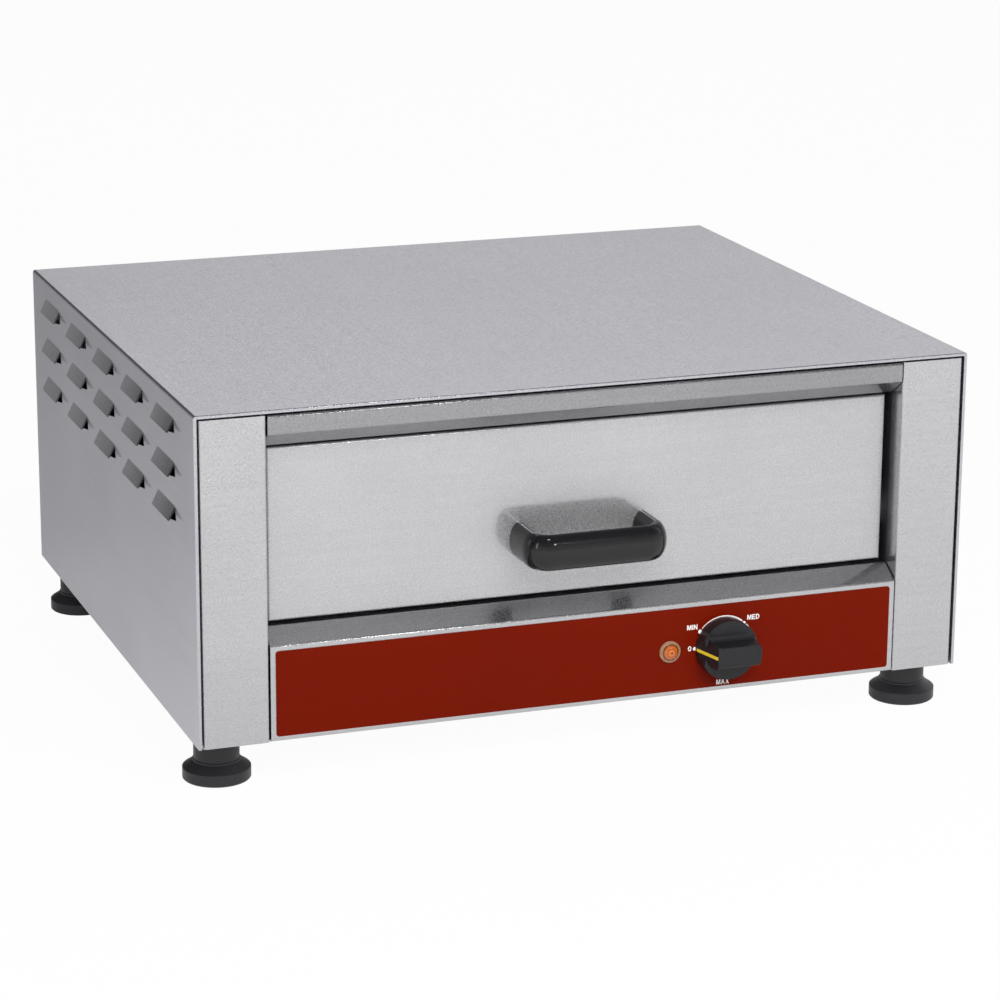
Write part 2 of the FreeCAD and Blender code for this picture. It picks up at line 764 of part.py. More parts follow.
def chamber_back():
    """Back wall of the chamber, which stands on the base plate and carries the element."""
    body = new_body("chamber_back")
    half = "chamber_half + sheet"
    add(body, "XZ_Plane", "chamber_end - sheet", "sheet",
        box_points("-(%s)" % half, half, "2 * sheet", "rail_low"))
    add(body, "XY_Plane", "2 * sheet", "sheet",
        box_points("-(%s)" % half, half, "chamber_end - sheet / 2", "chamber_end + 11"))
    circles = [(side + " * element_legs / 2", "tube_level", "tube_diameter + 1")
               for side in ("-1", "1")]
    cut(body, "XZ_Plane", "chamber_end - sheet", "sheet", circles=circles + [WIRE_HOLE])


def chamber_floor():
    """Floor of the chamber, over the control space."""
    body = new_body("chamber_floor")
    half = "chamber_half + sheet + floor_wing"
    add(body, "XY_Plane", "chamber_base - sheet", "sheet",
        box_points("-(%s)" % half, half, "post_return + sheet", "chamber_end - sheet"))
    cut(body, "XY_Plane", "chamber_base - sheet", "sheet",
        circles=[("bulb_side", "70", "capillary_diameter + 3")])


def heating_element():
    """Tubular heating element, bent flat into four legs under the drawer."""
    body = new_body("heating_element", ("0", "front_y", "foot_height + tube_level"))
    leg, radius = "element_legs / 2", "element_bend"
    back, front, turn_at = "element_back", "element_front", "element_turn"
    end = "chamber_end + 7"
    right = [(leg, end), (leg, turn_at, radius, 1),
             (leg + " + element_bend", turn_at + " - element_bend", radius, 1),
             (leg + " + 2 * element_bend", turn_at),
             (leg + " + 2 * element_bend", back, radius, -1),
             (leg + " + 3 * element_bend", back + " + element_bend", radius, -1),
             (leg + " + 4 * element_bend", back),
             (leg + " + 4 * element_bend", front + " + element_bend", radius, -1),
             (leg + " + 3 * element_bend", front)]
    # The other half is the mirror image, walked back towards its own end.
    left = []
    for number in range(len(right) - 1, -1, -1):
        across, back_place = right[number][:2]
        arc = right[number - 1][2:] if number > 0 else ()
        left.append(("-(%s)" % across, back_place) + tuple(arc))
    path = new_sketch(body, "XY_Plane")
    draw(path, right + left, closed=False)
    section = new_sketch(body, "XZ_Plane", end)
    draw_circle(section, leg, "0", "tube_diameter")
    pipe = body.newObject("PartDesign::AdditivePipe", "element_tube")
    pipe.Profile = section
    pipe.Spine = path


def element_supports():
    """Two ridged strips on the chamber floor that carry the element's legs."""
    body_list = []
    for number, back in enumerate(("element_turn + 60", "element_back - 50")):
        strip = doc.addObject("Part::Box", "element_support")
        strip.setExpression("Length", spell("2 * support_reach"))
        strip.setExpression("Width", spell("support_width"))
        strip.setExpression("Height", spell("tube_height - tube_diameter / 2 - seat_gap"))
        place(strip, in_cabinet("-support_reach", back, "chamber_base"))
        body_list.append(strip)
    group("element_supports", body_list)


def element_ends():
    """Ceramic collars and connector pins where the element leaves the chamber."""
    collars, pins = [], []
    for side in ("-1", "1"):
        at = in_cabinet(side + " * element_legs / 2", "chamber_end", "tube_level")
        outer = cylinder("collar", "insulator_diameter / 2", "insulator_length", at, "y")
        bore = cylinder("collar_bore", "tube_diameter / 2 + 0.1", "insulator_grip", at, "y")
        hole = cylinder("collar_hole", "connector_pin / 2 + 0.1", "insulator_length", at, "y")
        tool = doc.addObject("Part::MultiFuse", "collar_inside")
        tool.Shapes = [bore, hole]
        collar = doc.addObject("Part::Cut", "insulator")
        collar.Base = outer
        collar.Tool = tool
        collars.append(collar)
        pins.append(stepped("pin", along(at, "y", "insulator_grip"), "y",
                            [("connector_pin / 2", "insulator_length - insulator_grip"),
                             ("connector_collar / 2", "1"),
                             ("connector_pin / 2", "connector_reach")]))
    group("element_insulators", collars)
    group("element_terminals", pins)


def thermostat():
    """Thermostat behind the panel: case, sensor on its capillary, clips and fixings."""
    at = ("knob_place", "front_y", "foot_height + control_height")
    body = new_body("thermostat_body", at)
    half, tall = "thermostat_width / 2", "thermostat_tall / 2"
    add(body, "XZ_Plane", "thermostat_off", "thermostat_deep",
        box_points("-" + half, half, "-" + tall, tall))
    soften(body, "1.5", [("y", [("-" + half, "-" + tall), (half, "-" + tall),
                                ("-" + half, tall), (half, tall)])])
    add(body, "XZ_Plane", "thermostat_off - boss_depth", "boss_depth", hexagon("boss_flats"))
    cut(body, "XZ_Plane", "thermostat_off - boss_depth", "shaft_socket",
        circles=[("0", "0", "shaft_diameter + 2 * pin_clear")])
    cut(body, "XZ_Plane", "thermostat_off", "10",
        circles=[("0", side + " * stud_pitch / 2", "screw_diameter + 2 * screw_clear")
                 for side in ("-1", "1")])
    studs = [stepped("thermostat_stud",
                     in_cabinet("knob_place", "sheet",
                                "control_height + %s * stud_pitch / 2" % side), "y",
                     [("screw_head / 2", "thermostat_off - sheet - 0.2"),
                      ("screw_diameter / 2", "9")]) for side in ("-1", "1")]
    group("thermostat_screws", studs)


def shaft():
    """Spindle that the knob turns."""
    at = ("knob_place", "front_y", "foot_height + control_height")
    body = new_body("thermostat_shaft", at)
    sketch = new_sketch(body, "XZ_Plane", "-(knob_reach - shaft_cover)")
    draw_circle(sketch, "0", "0", "shaft_diameter")
    feature = body.newObject("PartDesign::Pad", "shaft_pad")
    feature.Profile = sketch
    feature.setExpression("Length", spell("knob_reach - shaft_cover + thermostat_off + shaft_depth"))
    feature.Reversed = True


def tube(points, radius, bend):
    """A round tube along straight runs joined by tangent arcs."""
    spots = [FreeCAD.Vector(*[value(text) for text in point]) for point in points]
    edges = []
    begin = spots[0]
    for before, corner, after in zip(spots, spots[1:], spots[2:]):
        to_corner = (corner - before).normalize()
        onward = (after - corner).normalize()
        half_turn = to_corner.getAngle(onward) / 2
        setback = bend * math.tan(half_turn)
        first = corner - to_corner * setback
        last = corner + onward * setback
        inward = (onward - to_corner).normalize()
        centre = corner + inward * (bend / math.cos(half_turn))
        middle = centre - inward * bend
        edges.append(Part.LineSegment(begin, first).toShape())
        edges.append(Part.Arc(first, middle, last).toShape())
        begin = last
    edges.append(Part.LineSegment(begin, spots[-1]).toShape())
    path = Part.Wire(edges)
    section = Part.Wire(Part.Circle(spots[0], spots[1] - spots[0], radius).toShape())
    return path.makePipeShell([section], True, False)


def sensor():
    """Temperature bulb over the chamber floor, on its capillary from the thermostat."""
    route = [("knob_place + 8", "thermostat_off + thermostat_deep", "control_height"),
             ("knob_place + 8", "70", "control_height"),
             ("bulb_side", "70", "control_height"),
             ("bulb_side", "70", "bulb_level"),
             ("bulb_side", "bulb_start + 1", "bulb_level")]
    capillary = tube(route, value("capillary_diameter / 2"), 8.0)
    start = FreeCAD.Vector(value("bulb_side"), value("bulb_start"), value("bulb_level"))
    bulb = Part.makeCylinder(value("bulb_diameter / 2"), value("bulb_length"), start,
                             FreeCAD.Vector(0, 1, 0))
    feature = doc.addObject("Part::Feature", "thermostat_sensor")
    feature.Shape = capillary.fuse(bulb).removeSplitter()
    place(feature, CABINET)
    keep(feature, "thermostat_sensor")
    clips = []
    for back in ("bulb_start + 12", "bulb_start + 60"):
        strip = doc.addObject("Part::Box", "bulb_clip")
        strip.setExpression("Length", spell("14"))
        strip.setExpression("Width", spell("8"))
        strip.setExpression("Height",
                            spell("bulb_level - chamber_base - bulb_diameter / 2 - seat_gap"))
        place(strip, in_cabinet("bulb_side - 7", back, "chamber_base"))
        clips.append(strip)
    group("bulb_clips", clips)


def lamp():
    """Amber pilot lamp: bezel ring, domed lens and body behind the panel."""
    at = ("lamp_place", "front_y", "foot_height + control_height")
    rim, inner = "lamp_diameter / 2", "lamp_hole / 2 - 0.2"
    bezel = new_body("lamp_bezel", at)
    turn(bezel, "XY_Plane", "V_Axis",
         [(inner + " - 0.6", "-label_thickness"), (rim, "-label_thickness"),
          (rim, "-label_thickness - bezel_side", "bezel_edge", 1),
          (rim + " - 1", "-label_thickness - bezel_rise"),
          (inner + " - 0.6", "-label_thickness - bezel_rise")])
    lens = new_body("lamp_lens", at)
    turn(lens, "XY_Plane", "V_Axis",
         [("0", "-label_thickness"), (inner + " - 0.7", "-label_thickness"),
          (inner + " - 0.7", "-label_thickness - lens_side", "lamp_diameter / 2", -1),
          ("0", "-label_thickness - lens_rise")])
    case = new_body("lamp_body", at)
    turn(case, "XY_Plane", "V_Axis",
         [("0", "-label_thickness"), (inner, "-label_thickness"), (inner, "sheet"),
          (inner, "14"), ("lamp_diameter / 2 - 3", "15"), ("lamp_diameter / 2 - 3", "lamp_length"),
          ("0", "lamp_length")])


def control_knob():
    """Moulded knob: round skirt, two finger scoops and a wing whose pointer end slopes."""
    at = ("knob_place", "front_y", "foot_height + control_height")
    body = new_body("control_knob", at)
    rim = "knob_diameter / 2"
    turn(body, "XY_Plane", "V_Axis",
         [("0", "-knob_gap"), (rim, "-knob_gap"), (rim, "-skirt_depth"),
          ("wing_end + 1", "-skirt_depth - 1.5"), ("wing_end", "-knob_reach"),
          ("0", "-knob_reach")])
    half, far = "wing_width / 2", "knob_diameter"
    left, corner = "-scoop_start", "scoop_corner"
    tools = []
    for side in (1, -1):
        scoop = [(left, "%d * (%s)" % (side, far)),
                 (left, "%d * (%s + %s)" % (side, half, corner), corner, side),
                 (left + " + " + corner, "%d * (%s)" % (side, half)),
                 (far, "%d * (%s)" % (side, half)), (far, "%d * (%s)" % (side, far))]
        tool = doc.addObject("PartDesign::Body", "finger_scoop")
        add(tool, "XZ_Plane", "-(2 * knob_reach)", "2 * knob_reach - skirt_depth", scoop)
        doc.recompute()
        round_edges(tool, "scoop_round", scoop_edges(tool.Tip.Shape))
        tools.append(tool)
    scoops = body.newObject("PartDesign::Boolean", "knob_scoops")
    scoops.Type = "Cut"
    scoops.setObjects(tools)
    doc.recompute()
    cut(body, "XY_Plane", "-knob_diameter", "2 * knob_diameter",
        [[("-(%s + 5)" % rim, "-slope_start"), ("-(%s)" % rim, "-slope_start"),
          ("-wing_start", "-knob_reach"), ("-wing_start", "-(knob_reach + 5)"),
          ("-(%s + 5)" % rim, "-(knob_reach + 5)")]])
    cut(body, "XZ_Plane", "-(knob_reach - shaft_cover)", "knob_reach - shaft_cover - knob_gap",
        circles=[("0", "0", "shaft_diameter + 2 * pin_clear")])
    round_edges(body, "moulded_edge", wing_edges(body.Tip.Shape))
    pointer = new_body("knob_pointer", at)
    low, high = "0.3 * slope_lean", "0.6 * slope_lean"
    add(pointer, "XY_Plane", "-pointer_width / 2", "pointer_width",
        [("-(%s - %s)" % (rim, low), "-(slope_start + 0.3)"),
         ("-(wing_start + %s)" % high, "-(knob_reach - 0.6)"),
         ("-(wing_start + %s + 0.15)" % high, "-(knob_reach - 0.6)"),
         ("-(%s - %s + 0.15)" % (rim, low), "-(slope_start + 0.3)")])


def scoop_edges(shape):
    """Edges of a finger scoop's floor beside the wing and the pointer slope."""
    floor, far = -value("skirt_depth"), value("knob_diameter")
    names = []
    for number, edge in enumerate(shape.Edges, start=1):
        middle = edge.valueAt((edge.FirstParameter + edge.LastParameter) / 2)
        on_floor = all(abs(vertex.Point.y - floor) < 1e-4 for vertex in edge.Vertexes)
        if on_floor and middle.x < far - 1e-4 and abs(middle.z) < far - 1e-4:
            names.append("Edge%d" % number)
    return names


def wing_edges(shape):
    """Edges around the wing's flat front face."""
    front = -value("knob_reach")
    names = []
    for number, edge in enumerate(shape.Edges, start=1):
        if all(abs(vertex.Point.y - front) < 1e-4 for vertex in edge.Vertexes):
            names.append("Edge%d" % number)
    return names


def mains_entry():
    """Terminal block, cable gland with its nuts, and the earth stud."""
    block = new_body("terminal_block", in_cabinet("gland_place", "block_place", "2 * sheet"))
    half = "block_width / 2"
    add(block, "XY_Plane", "0", "block_base", box_points("-" + half, half, "0", "block_depth"))
    for number in (-1, 0, 1):
        middle = "%d * block_width / 3" % number
        add(block, "XY_Plane", "block_base - 1", "block_tall - block_base + 1",
            box_points(middle + " - block_width / 8", middle + " + block_width / 8",
                       "3", "block_depth - 3"))
    cut(block, "XY_Plane", "block_tall - block_screw_depth", "block_screw_depth",
        circles=[("%d * block_width / 3" % number, "block_depth / 2", "block_screw")
                 for number in (-1, 0, 1)])
    at = in_cabinet("gland_place", "rear_face", "gland_height")
    gland = new_body("cable_gland", at)
    add(gland, "XZ_Plane", "0", "gland_flange", hexagon("gland_flats"))
    sketch = new_sketch(gland, "XZ_Plane", "-gland_inside")
    draw_circle(sketch, "0", "0", "gland_thread")
    thread = gland.newObject("PartDesign::Pad", "gland_thread")
    thread.Profile = sketch
    thread.setExpression("Length", spell("gland_inside + 2"))
    thread.Reversed = True
    cut(gland, "XZ_Plane", "-gland_inside", "gland_inside + gland_flange + 1",
        circles=[("0", "0", "gland_bore")])
    dome = new_body("gland_dome_nut", at)
    outer, reach = "gland_flats / 2 - 0.5", "gland_reach + rear_inset"
    turn(dome, "XY_Plane", "V_Axis",
         [("gland_bore / 2", "gland_flange + 0.2"), (outer, "gland_flange + 0.2"),
          (outer, reach + " - 6", "7", 1),
          (outer + " - 4", reach), ("gland_bore / 2", reach)])
    locknut = new_body("gland_locknut", at)
    add(locknut, "XZ_Plane", "-(sheet + locknut_height)", "locknut_height",
        hexagon("gland_flats + 2"))
    cut(locknut, "XZ_Plane", "-(sheet + locknut_height)", "locknut_height",
        circles=[("0", "0", "gland_thread + 0.2")])
    stud_at = in_cabinet("earth_place", "rear_face", "gland_height")
    stud = stepped("earth_rod", along(stud_at, "y", "-earth_inside"), "y",
                   [("earth_stud / 2", "earth_inside + earth_shoulder"),
                    ("earth_end / 2", "earth_free")])
    nuts = []
    for begin in ("0", "-(sheet + earth_nut_height)"):
        nut = doc.addObject("Part::Prism", "earth_nut")
        nut.Polygon = 6
        nut.setExpression("Circumradius", spell("earth_nut_flats / sqrt(3)"))
        nut.setExpression("Height", spell("earth_nut_height"))
        nut.Placement = FreeCAD.Placement(FreeCAD.Vector(),
                                          FreeCAD.Rotation(FreeCAD.Vector(1, 0, 0), -90))
        place(nut, along(stud_at, "y", begin))
        hole = cylinder("earth_hole", "earth_stud / 2 + pin_clear", "earth_nut_height",
                        along(stud_at, "y", begin), "y")
        ring = doc.addObject("Part::Cut", "earth_ring")
        ring.Base = nut
        ring.Tool = hole
        nuts.append(ring)
    group("earth_stud", [stud] + nuts)


def wiring():
    """Insulated wires between the block, the thermostat, the lamp and the element."""
    low, radius = "2 * sheet + 4", value("wire_diameter / 2")
    routes = [
        [("gland_place", "block_place - 0.2", low), ("gland_place", "250", low),
         ("knob_place - 6", "150", low), ("knob_place - 6", "60", low),
         ("knob_place - 6", "60", "control_height - 10"),
         ("knob_place - 6", "thermostat_off + thermostat_deep + 0.2", "control_height - 10")],
        [("gland_place - 14", "block_place - 0.2", low), ("gland_place - 14", "250", low),
         ("lamp_place", "150", low), ("lamp_place", "50", low),
         ("lamp_place", "50", "control_height"),
         ("lamp_place", "lamp_length + 0.2", "control_height")],
        [("element_legs / 2", "chamber_end + 19.2", "tube_level - 4.5"),
         ("element_legs / 2", "chamber_end + 19.2", "20"), ("120", "chamber_end + 19.2", "20"),
         ("120", "chamber_end - 40", "20"), ("knob_place + 6", "chamber_end - 190", "20"),
         ("knob_place + 6", "thermostat_off + thermostat_deep + 0.2", "20")],
    ]
    wires = [tube(route, radius, 6.0) for route in routes]
    feature = doc.addObject("Part::Feature", "internal_wiring")
    feature.Shape = Part.makeCompound(wires)
    place(feature, CABINET)
    keep(feature, "internal_wiring")


def runners():
    """Fixed channels on the chamber walls, with their front rollers' pins and rivets."""
    pins, rivets = [], []
    for name, side in (("left_runner", -1), ("right_runner", 1)):
        body = new_body(name)
        edge, web = "chamber_half - runner_width", "chamber_half - runner_steel"
        outline = [("chamber_half", "runner_low"), ("chamber_half", "runner_roof + runner_steel"),
                   (edge, "runner_roof + runner_steel"), (edge, "runner_roof"),
                   (web, "runner_roof"), (web, "runner_floor"), (edge, "runner_floor"),
                   (edge, "runner_low")]
        add(body, "XZ_Plane", "runner_start", "runner_end - runner_start",
            [("%d * (%s)" % (side, across), up) for across, up in outline])
        add(body, "XZ_Plane", "runner_end - runner_steel", "runner_steel",
            [("%d * (%s)" % (side, across), up) for across, up in
             box_points(edge, web, "runner_floor", "runner_roof")])
        start = "-(chamber_half)" if side < 0 else "chamber_half - runner_steel"
        cut(body, "YZ_Plane", start, "runner_steel",
            circles=[(back, "roller_level", "rear_hole") for back in RUNNER_RIVETS])
        inward = "x" if side < 0 else "-x"
        wall = in_cabinet("%d * (%s)" % (side, web), "front_roller_place", "roller_level")
        pins.append(stepped("front_pin", wall, inward,
                            [("roller_pin / 2", "roller_width + 2"), ("pin_head / 2", "1")]))
        for back in RUNNER_RIVETS:
            head = in_cabinet("%d * (%s)" % (side, web), back, "roller_level")
            outward = "-x" if side < 0 else "x"
            rivets.append(stepped("runner_rivet", along(head, inward, "1.2"), outward,
                                  [("3.2", "1.2"), ("screw_diameter / 2", "2 * sheet + 0.5"),
                                   ("2.8", "1.5")]))
    group("front_roller_pins", pins)
    group("runner_rivets", rivets)


def roller(name, side, back, inner_face):
    """Nylon runner wheel with a bore for its pin."""
    body = new_body(name, in_cabinet("%d * (%s)" % (side, inner_face), back, "roller_level"))
    bore, rim = "roller_pin / 2 + pin_clear", "roller_diameter / 2"
    wide = "roller_width"
    turn(body, "XY_Plane", "H_Axis",
         [("0", bore), ("0", rim + " - 0.6"), ("0.6", rim), (wide + " - 0.6", rim),
          (wide, rim + " - 0.6"), (wide, bore)])


def rollers():
    """Two wheels on the fixed channels and two on the drawer's rails."""
    front = "chamber_half - runner_steel - roller_width - 1.2"
    rear = "rail_face_out + 1"
    width = " + roller_width"
    roller("front_left_roller", -1, "front_roller_place", front + width)
    roller("front_right_roller", 1, "front_roller_place", front)
    roller("rear_left_roller", -1, "rear_roller_place", rear + width)
    roller("rear_right_roller", 1, "rear_roller_place", rear)


def drawer_front():
    """Folded pan that closes the opening, with a plain inner skin behind it."""
    body = new_body("drawer_front")
    add(body, "XZ_Plane", "drawer_recess", "drawer_rim",
        box_points("-(drawer_half)", "drawer_half", "drawer_low", "drawer_high"))
    half, low, high = "drawer_half - sheet", "drawer_low + sheet", "drawer_high - sheet"
    soften(body, "drawer_bend",
           [("x", [("drawer_recess", "drawer_low"), ("drawer_recess", "drawer_high")]),
            ("z", [("-(drawer_half)", "drawer_recess"), ("drawer_half", "drawer_recess")])])
    cut(body, "XZ_Plane", "drawer_recess + sheet", "drawer_rim - sheet",
        [box_points("-(%s)" % half, half, low, high)])
    cut(body, "XZ_Plane", "drawer_recess", "sheet",
        circles=[("handle_shift + %s * handle_centres / 2" % side, "handle_height",
                  "handle_screw + 0.2") for side in ("-1", "1")])
    skin = new_body("drawer_inner_skin")
    inset = "drawer_half - sheet - 0.1"
    add(skin, "XZ_Plane", "box_front - sheet", "sheet",
        box_points("-(%s)" % inset, inset, low + " + 0.1", high + " - 0.1"))


def drawer_box():
    """Open box behind the front, with a ledge round an open bottom."""
    body = new_body("drawer_box")
    add(body, "XY_Plane", "box_low", "box_height",
        box_points("-(box_half)", "box_half", "box_front", "box_back"))
    cut(body, "XY_Plane", "box_low + sheet", "box_height - sheet",
        [box_points("-(box_half - sheet)", "box_half - sheet", "box_front + sheet",
                    "box_back - sheet")])
    cut(body, "XY_Plane", "box_low", "sheet",
        [box_points("-(box_half - box_ledge)", "box_half - box_ledge",
                    "box_front + box_ledge", "box_back - box_ledge")])
    places = [(back, "roller_level", "rear_hole") for back in DRAWER_RIVETS]
    for start in ("box_half - sheet", "-(box_half)"):
        cut(body, "YZ_Plane", start, "sheet", circles=places)


def bun_tray():
    """Lift-out tray with a pierced bottom that the buns lie on."""
    body = new_body("bun_tray")
    half, front, back = "tray_half", "tray_front", "tray_back"
    add(body, "XY_Plane", "box_low + sheet", "tray_height",
        box_points("-(%s)" % half, half, front, back))
    corners = [("-(%s)" % half, front), (half, front), ("-(%s)" % half, back), (half, back)]
    soften(body, "tray_corner", [("z", corners)])
    cut(body, "XY_Plane", "box_low + 2 * sheet", "tray_height - sheet",
        [rounded_box("tray_half - sheet", front + " + sheet", back + " - sheet",
                     "tray_corner - sheet")])
    hole = cut(body, "XY_Plane", "box_low + sheet", "sheet",
               circles=[("-(tray_hole_pitch * (tray_columns - 1) / 2)",
                         front + " + tray_margin", "tray_hole")])
    columns = pattern(body, "X_Axis", "tray_hole_pitch", "tray_columns")
    lines = pattern(body, "Y_Axis", "tray_hole_pitch", "tray_lines")
    grid(body, [hole], [columns, lines])


def drawer_rails():
    """Angles riveted to the box, which run on the front rollers and carry the rear ones."""
    pins, rivets = [], []
    for name, side in (("left_drawer_rail", -1), ("right_drawer_rail", 1)):
        body = new_body(name)
        top = "rail_under + runner_steel"
        outline = [("box_half", "runner_low"), ("rail_face_out", "runner_low"),
                   ("rail_face_out", "rail_under"), ("rail_face_out + rail_reach", "rail_under"),
                   ("rail_face_out + rail_reach", top), ("box_half", top)]
        end = "runner_end - runner_steel - rail_clear"
        add(body, "XZ_Plane", "box_front", end + " - box_front",
            [("%d * (%s)" % (side, across), up) for across, up in outline])
        start = "-(rail_face_out)" if side < 0 else "box_half"
        cut(body, "YZ_Plane", start, "runner_steel",
            circles=[(back, "roller_level", "rear_hole") for back in DRAWER_RIVETS])
        outward = "-x" if side < 0 else "x"
        face = in_cabinet("%d * rail_face_out" % side, "rear_roller_place", "roller_level")
        pins.append(stepped("rear_pin", face, outward,
                            [("roller_pin / 2", "roller_width + 1.4"), ("pin_head / 2", "0.9")]))
        for back in DRAWER_RIVETS:
            head = in_cabinet("%d * (box_half - sheet - 1)" % side, back, "roller_level")
            rivets.append(stepped("drawer_rivet", head, outward,
                                  [("3", "1"), ("screw_diameter / 2", "sheet + runner_steel"),
                                   ("2.8", "0.7")]))
    group("rear_roller_pins", pins)
    group("drawer_rivets", rivets)


def drawer_handle():
    """Moulded bow handle with an oval section, and the two screws that hold it."""
    at = in_cabinet("handle_shift", "drawer_recess", "handle_height")
    body = new_body("drawer_handle", at)
    half, bend = "handle_centres / 2", "handle_bend"
    front = "-(handle_reach - handle_thick / 2)"
    straight = front + " + handle_bend"
    path = new_sketch(body, "XY_Plane")
    draw(path, [("-" + half, "0"), ("-" + half, straight, bend, 1),
                ("-%s + handle_bend" % half, front), (half + " - handle_bend", front, bend, 1),
                (half, straight), (half, "0")], closed=False)
    section = new_sketch(body, "XZ_Plane")
    centre = FreeCAD.Vector(value("-" + half), 0, 0)
    wide, tall = value("handle_thick / 2"), value("handle_tall / 2")
    oval = Part.Ellipse(centre + FreeCAD.Vector(0, tall, 0), centre + FreeCAD.Vector(wide, 0, 0),
                        centre)
    edge = section.addGeometry(oval, False)
    section.exposeInternalGeometry(edge)
    pin(section, edge, 3, ("-" + half, "0"))
    for number, length in ((1, "handle_tall"), (2, "handle_thick")):
        limit = section.addConstraint(
            Sketcher.Constraint("Distance", edge + number, 1, edge + number, 2, value(length)))
        section.renameConstraint(limit, "axis_%d" % number)
        section.setExpression("Constraints.axis_%d" % number, spell(length))
    section.addConstraint(Sketcher.Constraint("Vertical", edge + 1))
    pipe = body.newObject("PartDesign::AdditivePipe", "handle_bow")
    pipe.Profile = section
    pipe.Spine = path
    cut(body, "XZ_Plane", "-14", "14",
        circles=[("%s * handle_centres / 2" % side, "0", "handle_screw + 0.1")
                 for side in ("-1", "1")])
    screws = [stepped("handle_screw",
                      in_cabinet("handle_shift + %s * handle_centres / 2" % side,
                                 "drawer_recess + sheet + 3", "handle_height"), "-y",
                      [("handle_screw * 0.9", "3"), ("handle_screw / 2", "sheet + 13")])
              for side in ("-1", "1")]
    group("handle_screws", screws)


def feet():
    """Four moulded feet on threaded studs, with their nuts under the base plate."""
    nuts = []
    for name, side, back in (("front_left", -1, "foot_inset_front"),
                             ("front_right", 1, "foot_inset_front"),
                             ("rear_left", -1, "foot_back"), ("rear_right", 1, "foot_back")):
        at = ("%d * foot_across" % side, "front_y + " + back, "0")
        pad = new_body(name + "_foot", at)
        rim, hub, hole = "foot_diameter / 2", "foot_hub / 2", "foot_stud / 2 + pin_clear"
        turn(pad, "XZ_Plane", "V_Axis",
             [("0", "0"), (rim + " - 0.8", "0"), (rim, "0.8"), (rim, "foot_rim - 0.6"),
              (rim + " - 0.6", "foot_rim"), (hub + " + 0.7", "foot_cone"),
              (hub + " + 0.7", "foot_cone + 1.2"), (hub, "foot_cone + 1.6"),
              (hub, "foot_hub_top - 0.6"), (hub + " - 0.6", "foot_hub_top"),
              (hole, "foot_hub_top"), (hole, "8"), ("0", "8")])
        stud = new_body(name + "_stud", at)
        turn(stud, "XZ_Plane", "V_Axis",
             [("0", "8"), ("foot_stud / 2", "8"), ("foot_stud / 2", "foot_stud_top - 1"),
              ("foot_stud / 2 - 1", "foot_stud_top"), ("0", "foot_stud_top")])
        low = "foot_height + sheet - foot_nut_height"
        nut = doc.addObject("Part::Prism", "foot_nut")
        nut.Polygon = 6
        nut.setExpression("Circumradius", spell("foot_nut_flats / sqrt(3)"))
        nut.setExpression("Height", spell("foot_nut_height"))
        place(nut, (at[0], at[1], low))
        hole_bar = cylinder("foot_nut_hole", "foot_stud / 2 + pin_clear", "foot_nut_height",
                            (at[0], at[1], low))
        ring = doc.addObject("Part::Cut", "foot_ring")
        ring.Base = nut
        ring.Tool = hole_bar
        nuts.append(ring)
    group("foot_nuts", nuts)


def cover_screws():
    """Screws of the back cover and of the base plate."""
    steps = [("screw_head / 2", "screw_head_tall"), ("screw_diameter / 2", "8")]
    spots = [(side + " * (half_width - skin - rear_flange / 2)", up)
             for side in ("-1", "1") for up in REAR_SIDE_SCREWS]
    spots += [(across, up) for across in REAR_TOP_SCREWS
              for up in ("8", "case_height - skin - rear_flange / 2")]
    group("rear_panel_screws",
          [stepped("rear_screw", in_cabinet(across, "rear_face + screw_head_tall", up), "-y",
                   steps) for across, up in spots])
    spots = [(side + " * (half_width - skin - bottom_flange / 2)", back)
             for side in ("-1", "1") for back in BASE_SIDE_SCREWS]
    spots += [(across, "tab_depth - 6") for across in BASE_FRONT_SCREWS]
    group("base_screws",
          [stepped("base_screw", in_cabinet(across, back, "-screw_head_tall"), "z", steps)
           for across, back in spots])


outer_casing()
base_plate()
rear_panel()
pillar("left_pillar", -1)
pillar("right_pillar", 1)
top_rail()
control_panel()
control_label()
chamber_shell()
chamber_back()
chamber_floor()
heating_element()
element_supports()
element_ends()
thermostat()
shaft()
sensor()
lamp()
control_knob()
mains_entry()
wiring()
runners()
rollers()
drawer_front()
drawer_box()
bun_tray()
drawer_rails()
drawer_handle()
feet()
cover_screws()
doc.recompute()

# Every object has to be sound before anything is written.
for item in doc.Objects:
    if "Invalid" in item.State or "Error" in item.State:
        raise RuntimeError("%s failed: %s" % (item.Label, item.State))
for node in NODES:
    if node.Shape.isNull() or not node.Shape.isValid():
        raise RuntimeError(node.Label + " has no sound shape")

os.makedirs("parts", exist_ok=True)
for node in NODES:
    node.Shape.exportStep("parts/%s.step" % node.Label)
print("%d sub-parts written" % len(NODES))
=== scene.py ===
import bmesh
import bpy
import math
from mathutils import Matrix, Vector


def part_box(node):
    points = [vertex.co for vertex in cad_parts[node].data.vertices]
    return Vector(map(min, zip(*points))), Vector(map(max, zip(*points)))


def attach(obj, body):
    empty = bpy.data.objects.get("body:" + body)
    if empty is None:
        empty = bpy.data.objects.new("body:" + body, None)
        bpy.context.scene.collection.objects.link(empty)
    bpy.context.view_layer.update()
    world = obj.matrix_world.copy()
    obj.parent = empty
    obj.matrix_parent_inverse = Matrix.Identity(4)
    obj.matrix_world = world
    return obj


# Counter-top bun warmer: materials, printed dial, lamp details, studio and camera.
# Metres, +X to the right, +Y to the back, +Z up, origin on the ground under the middle.

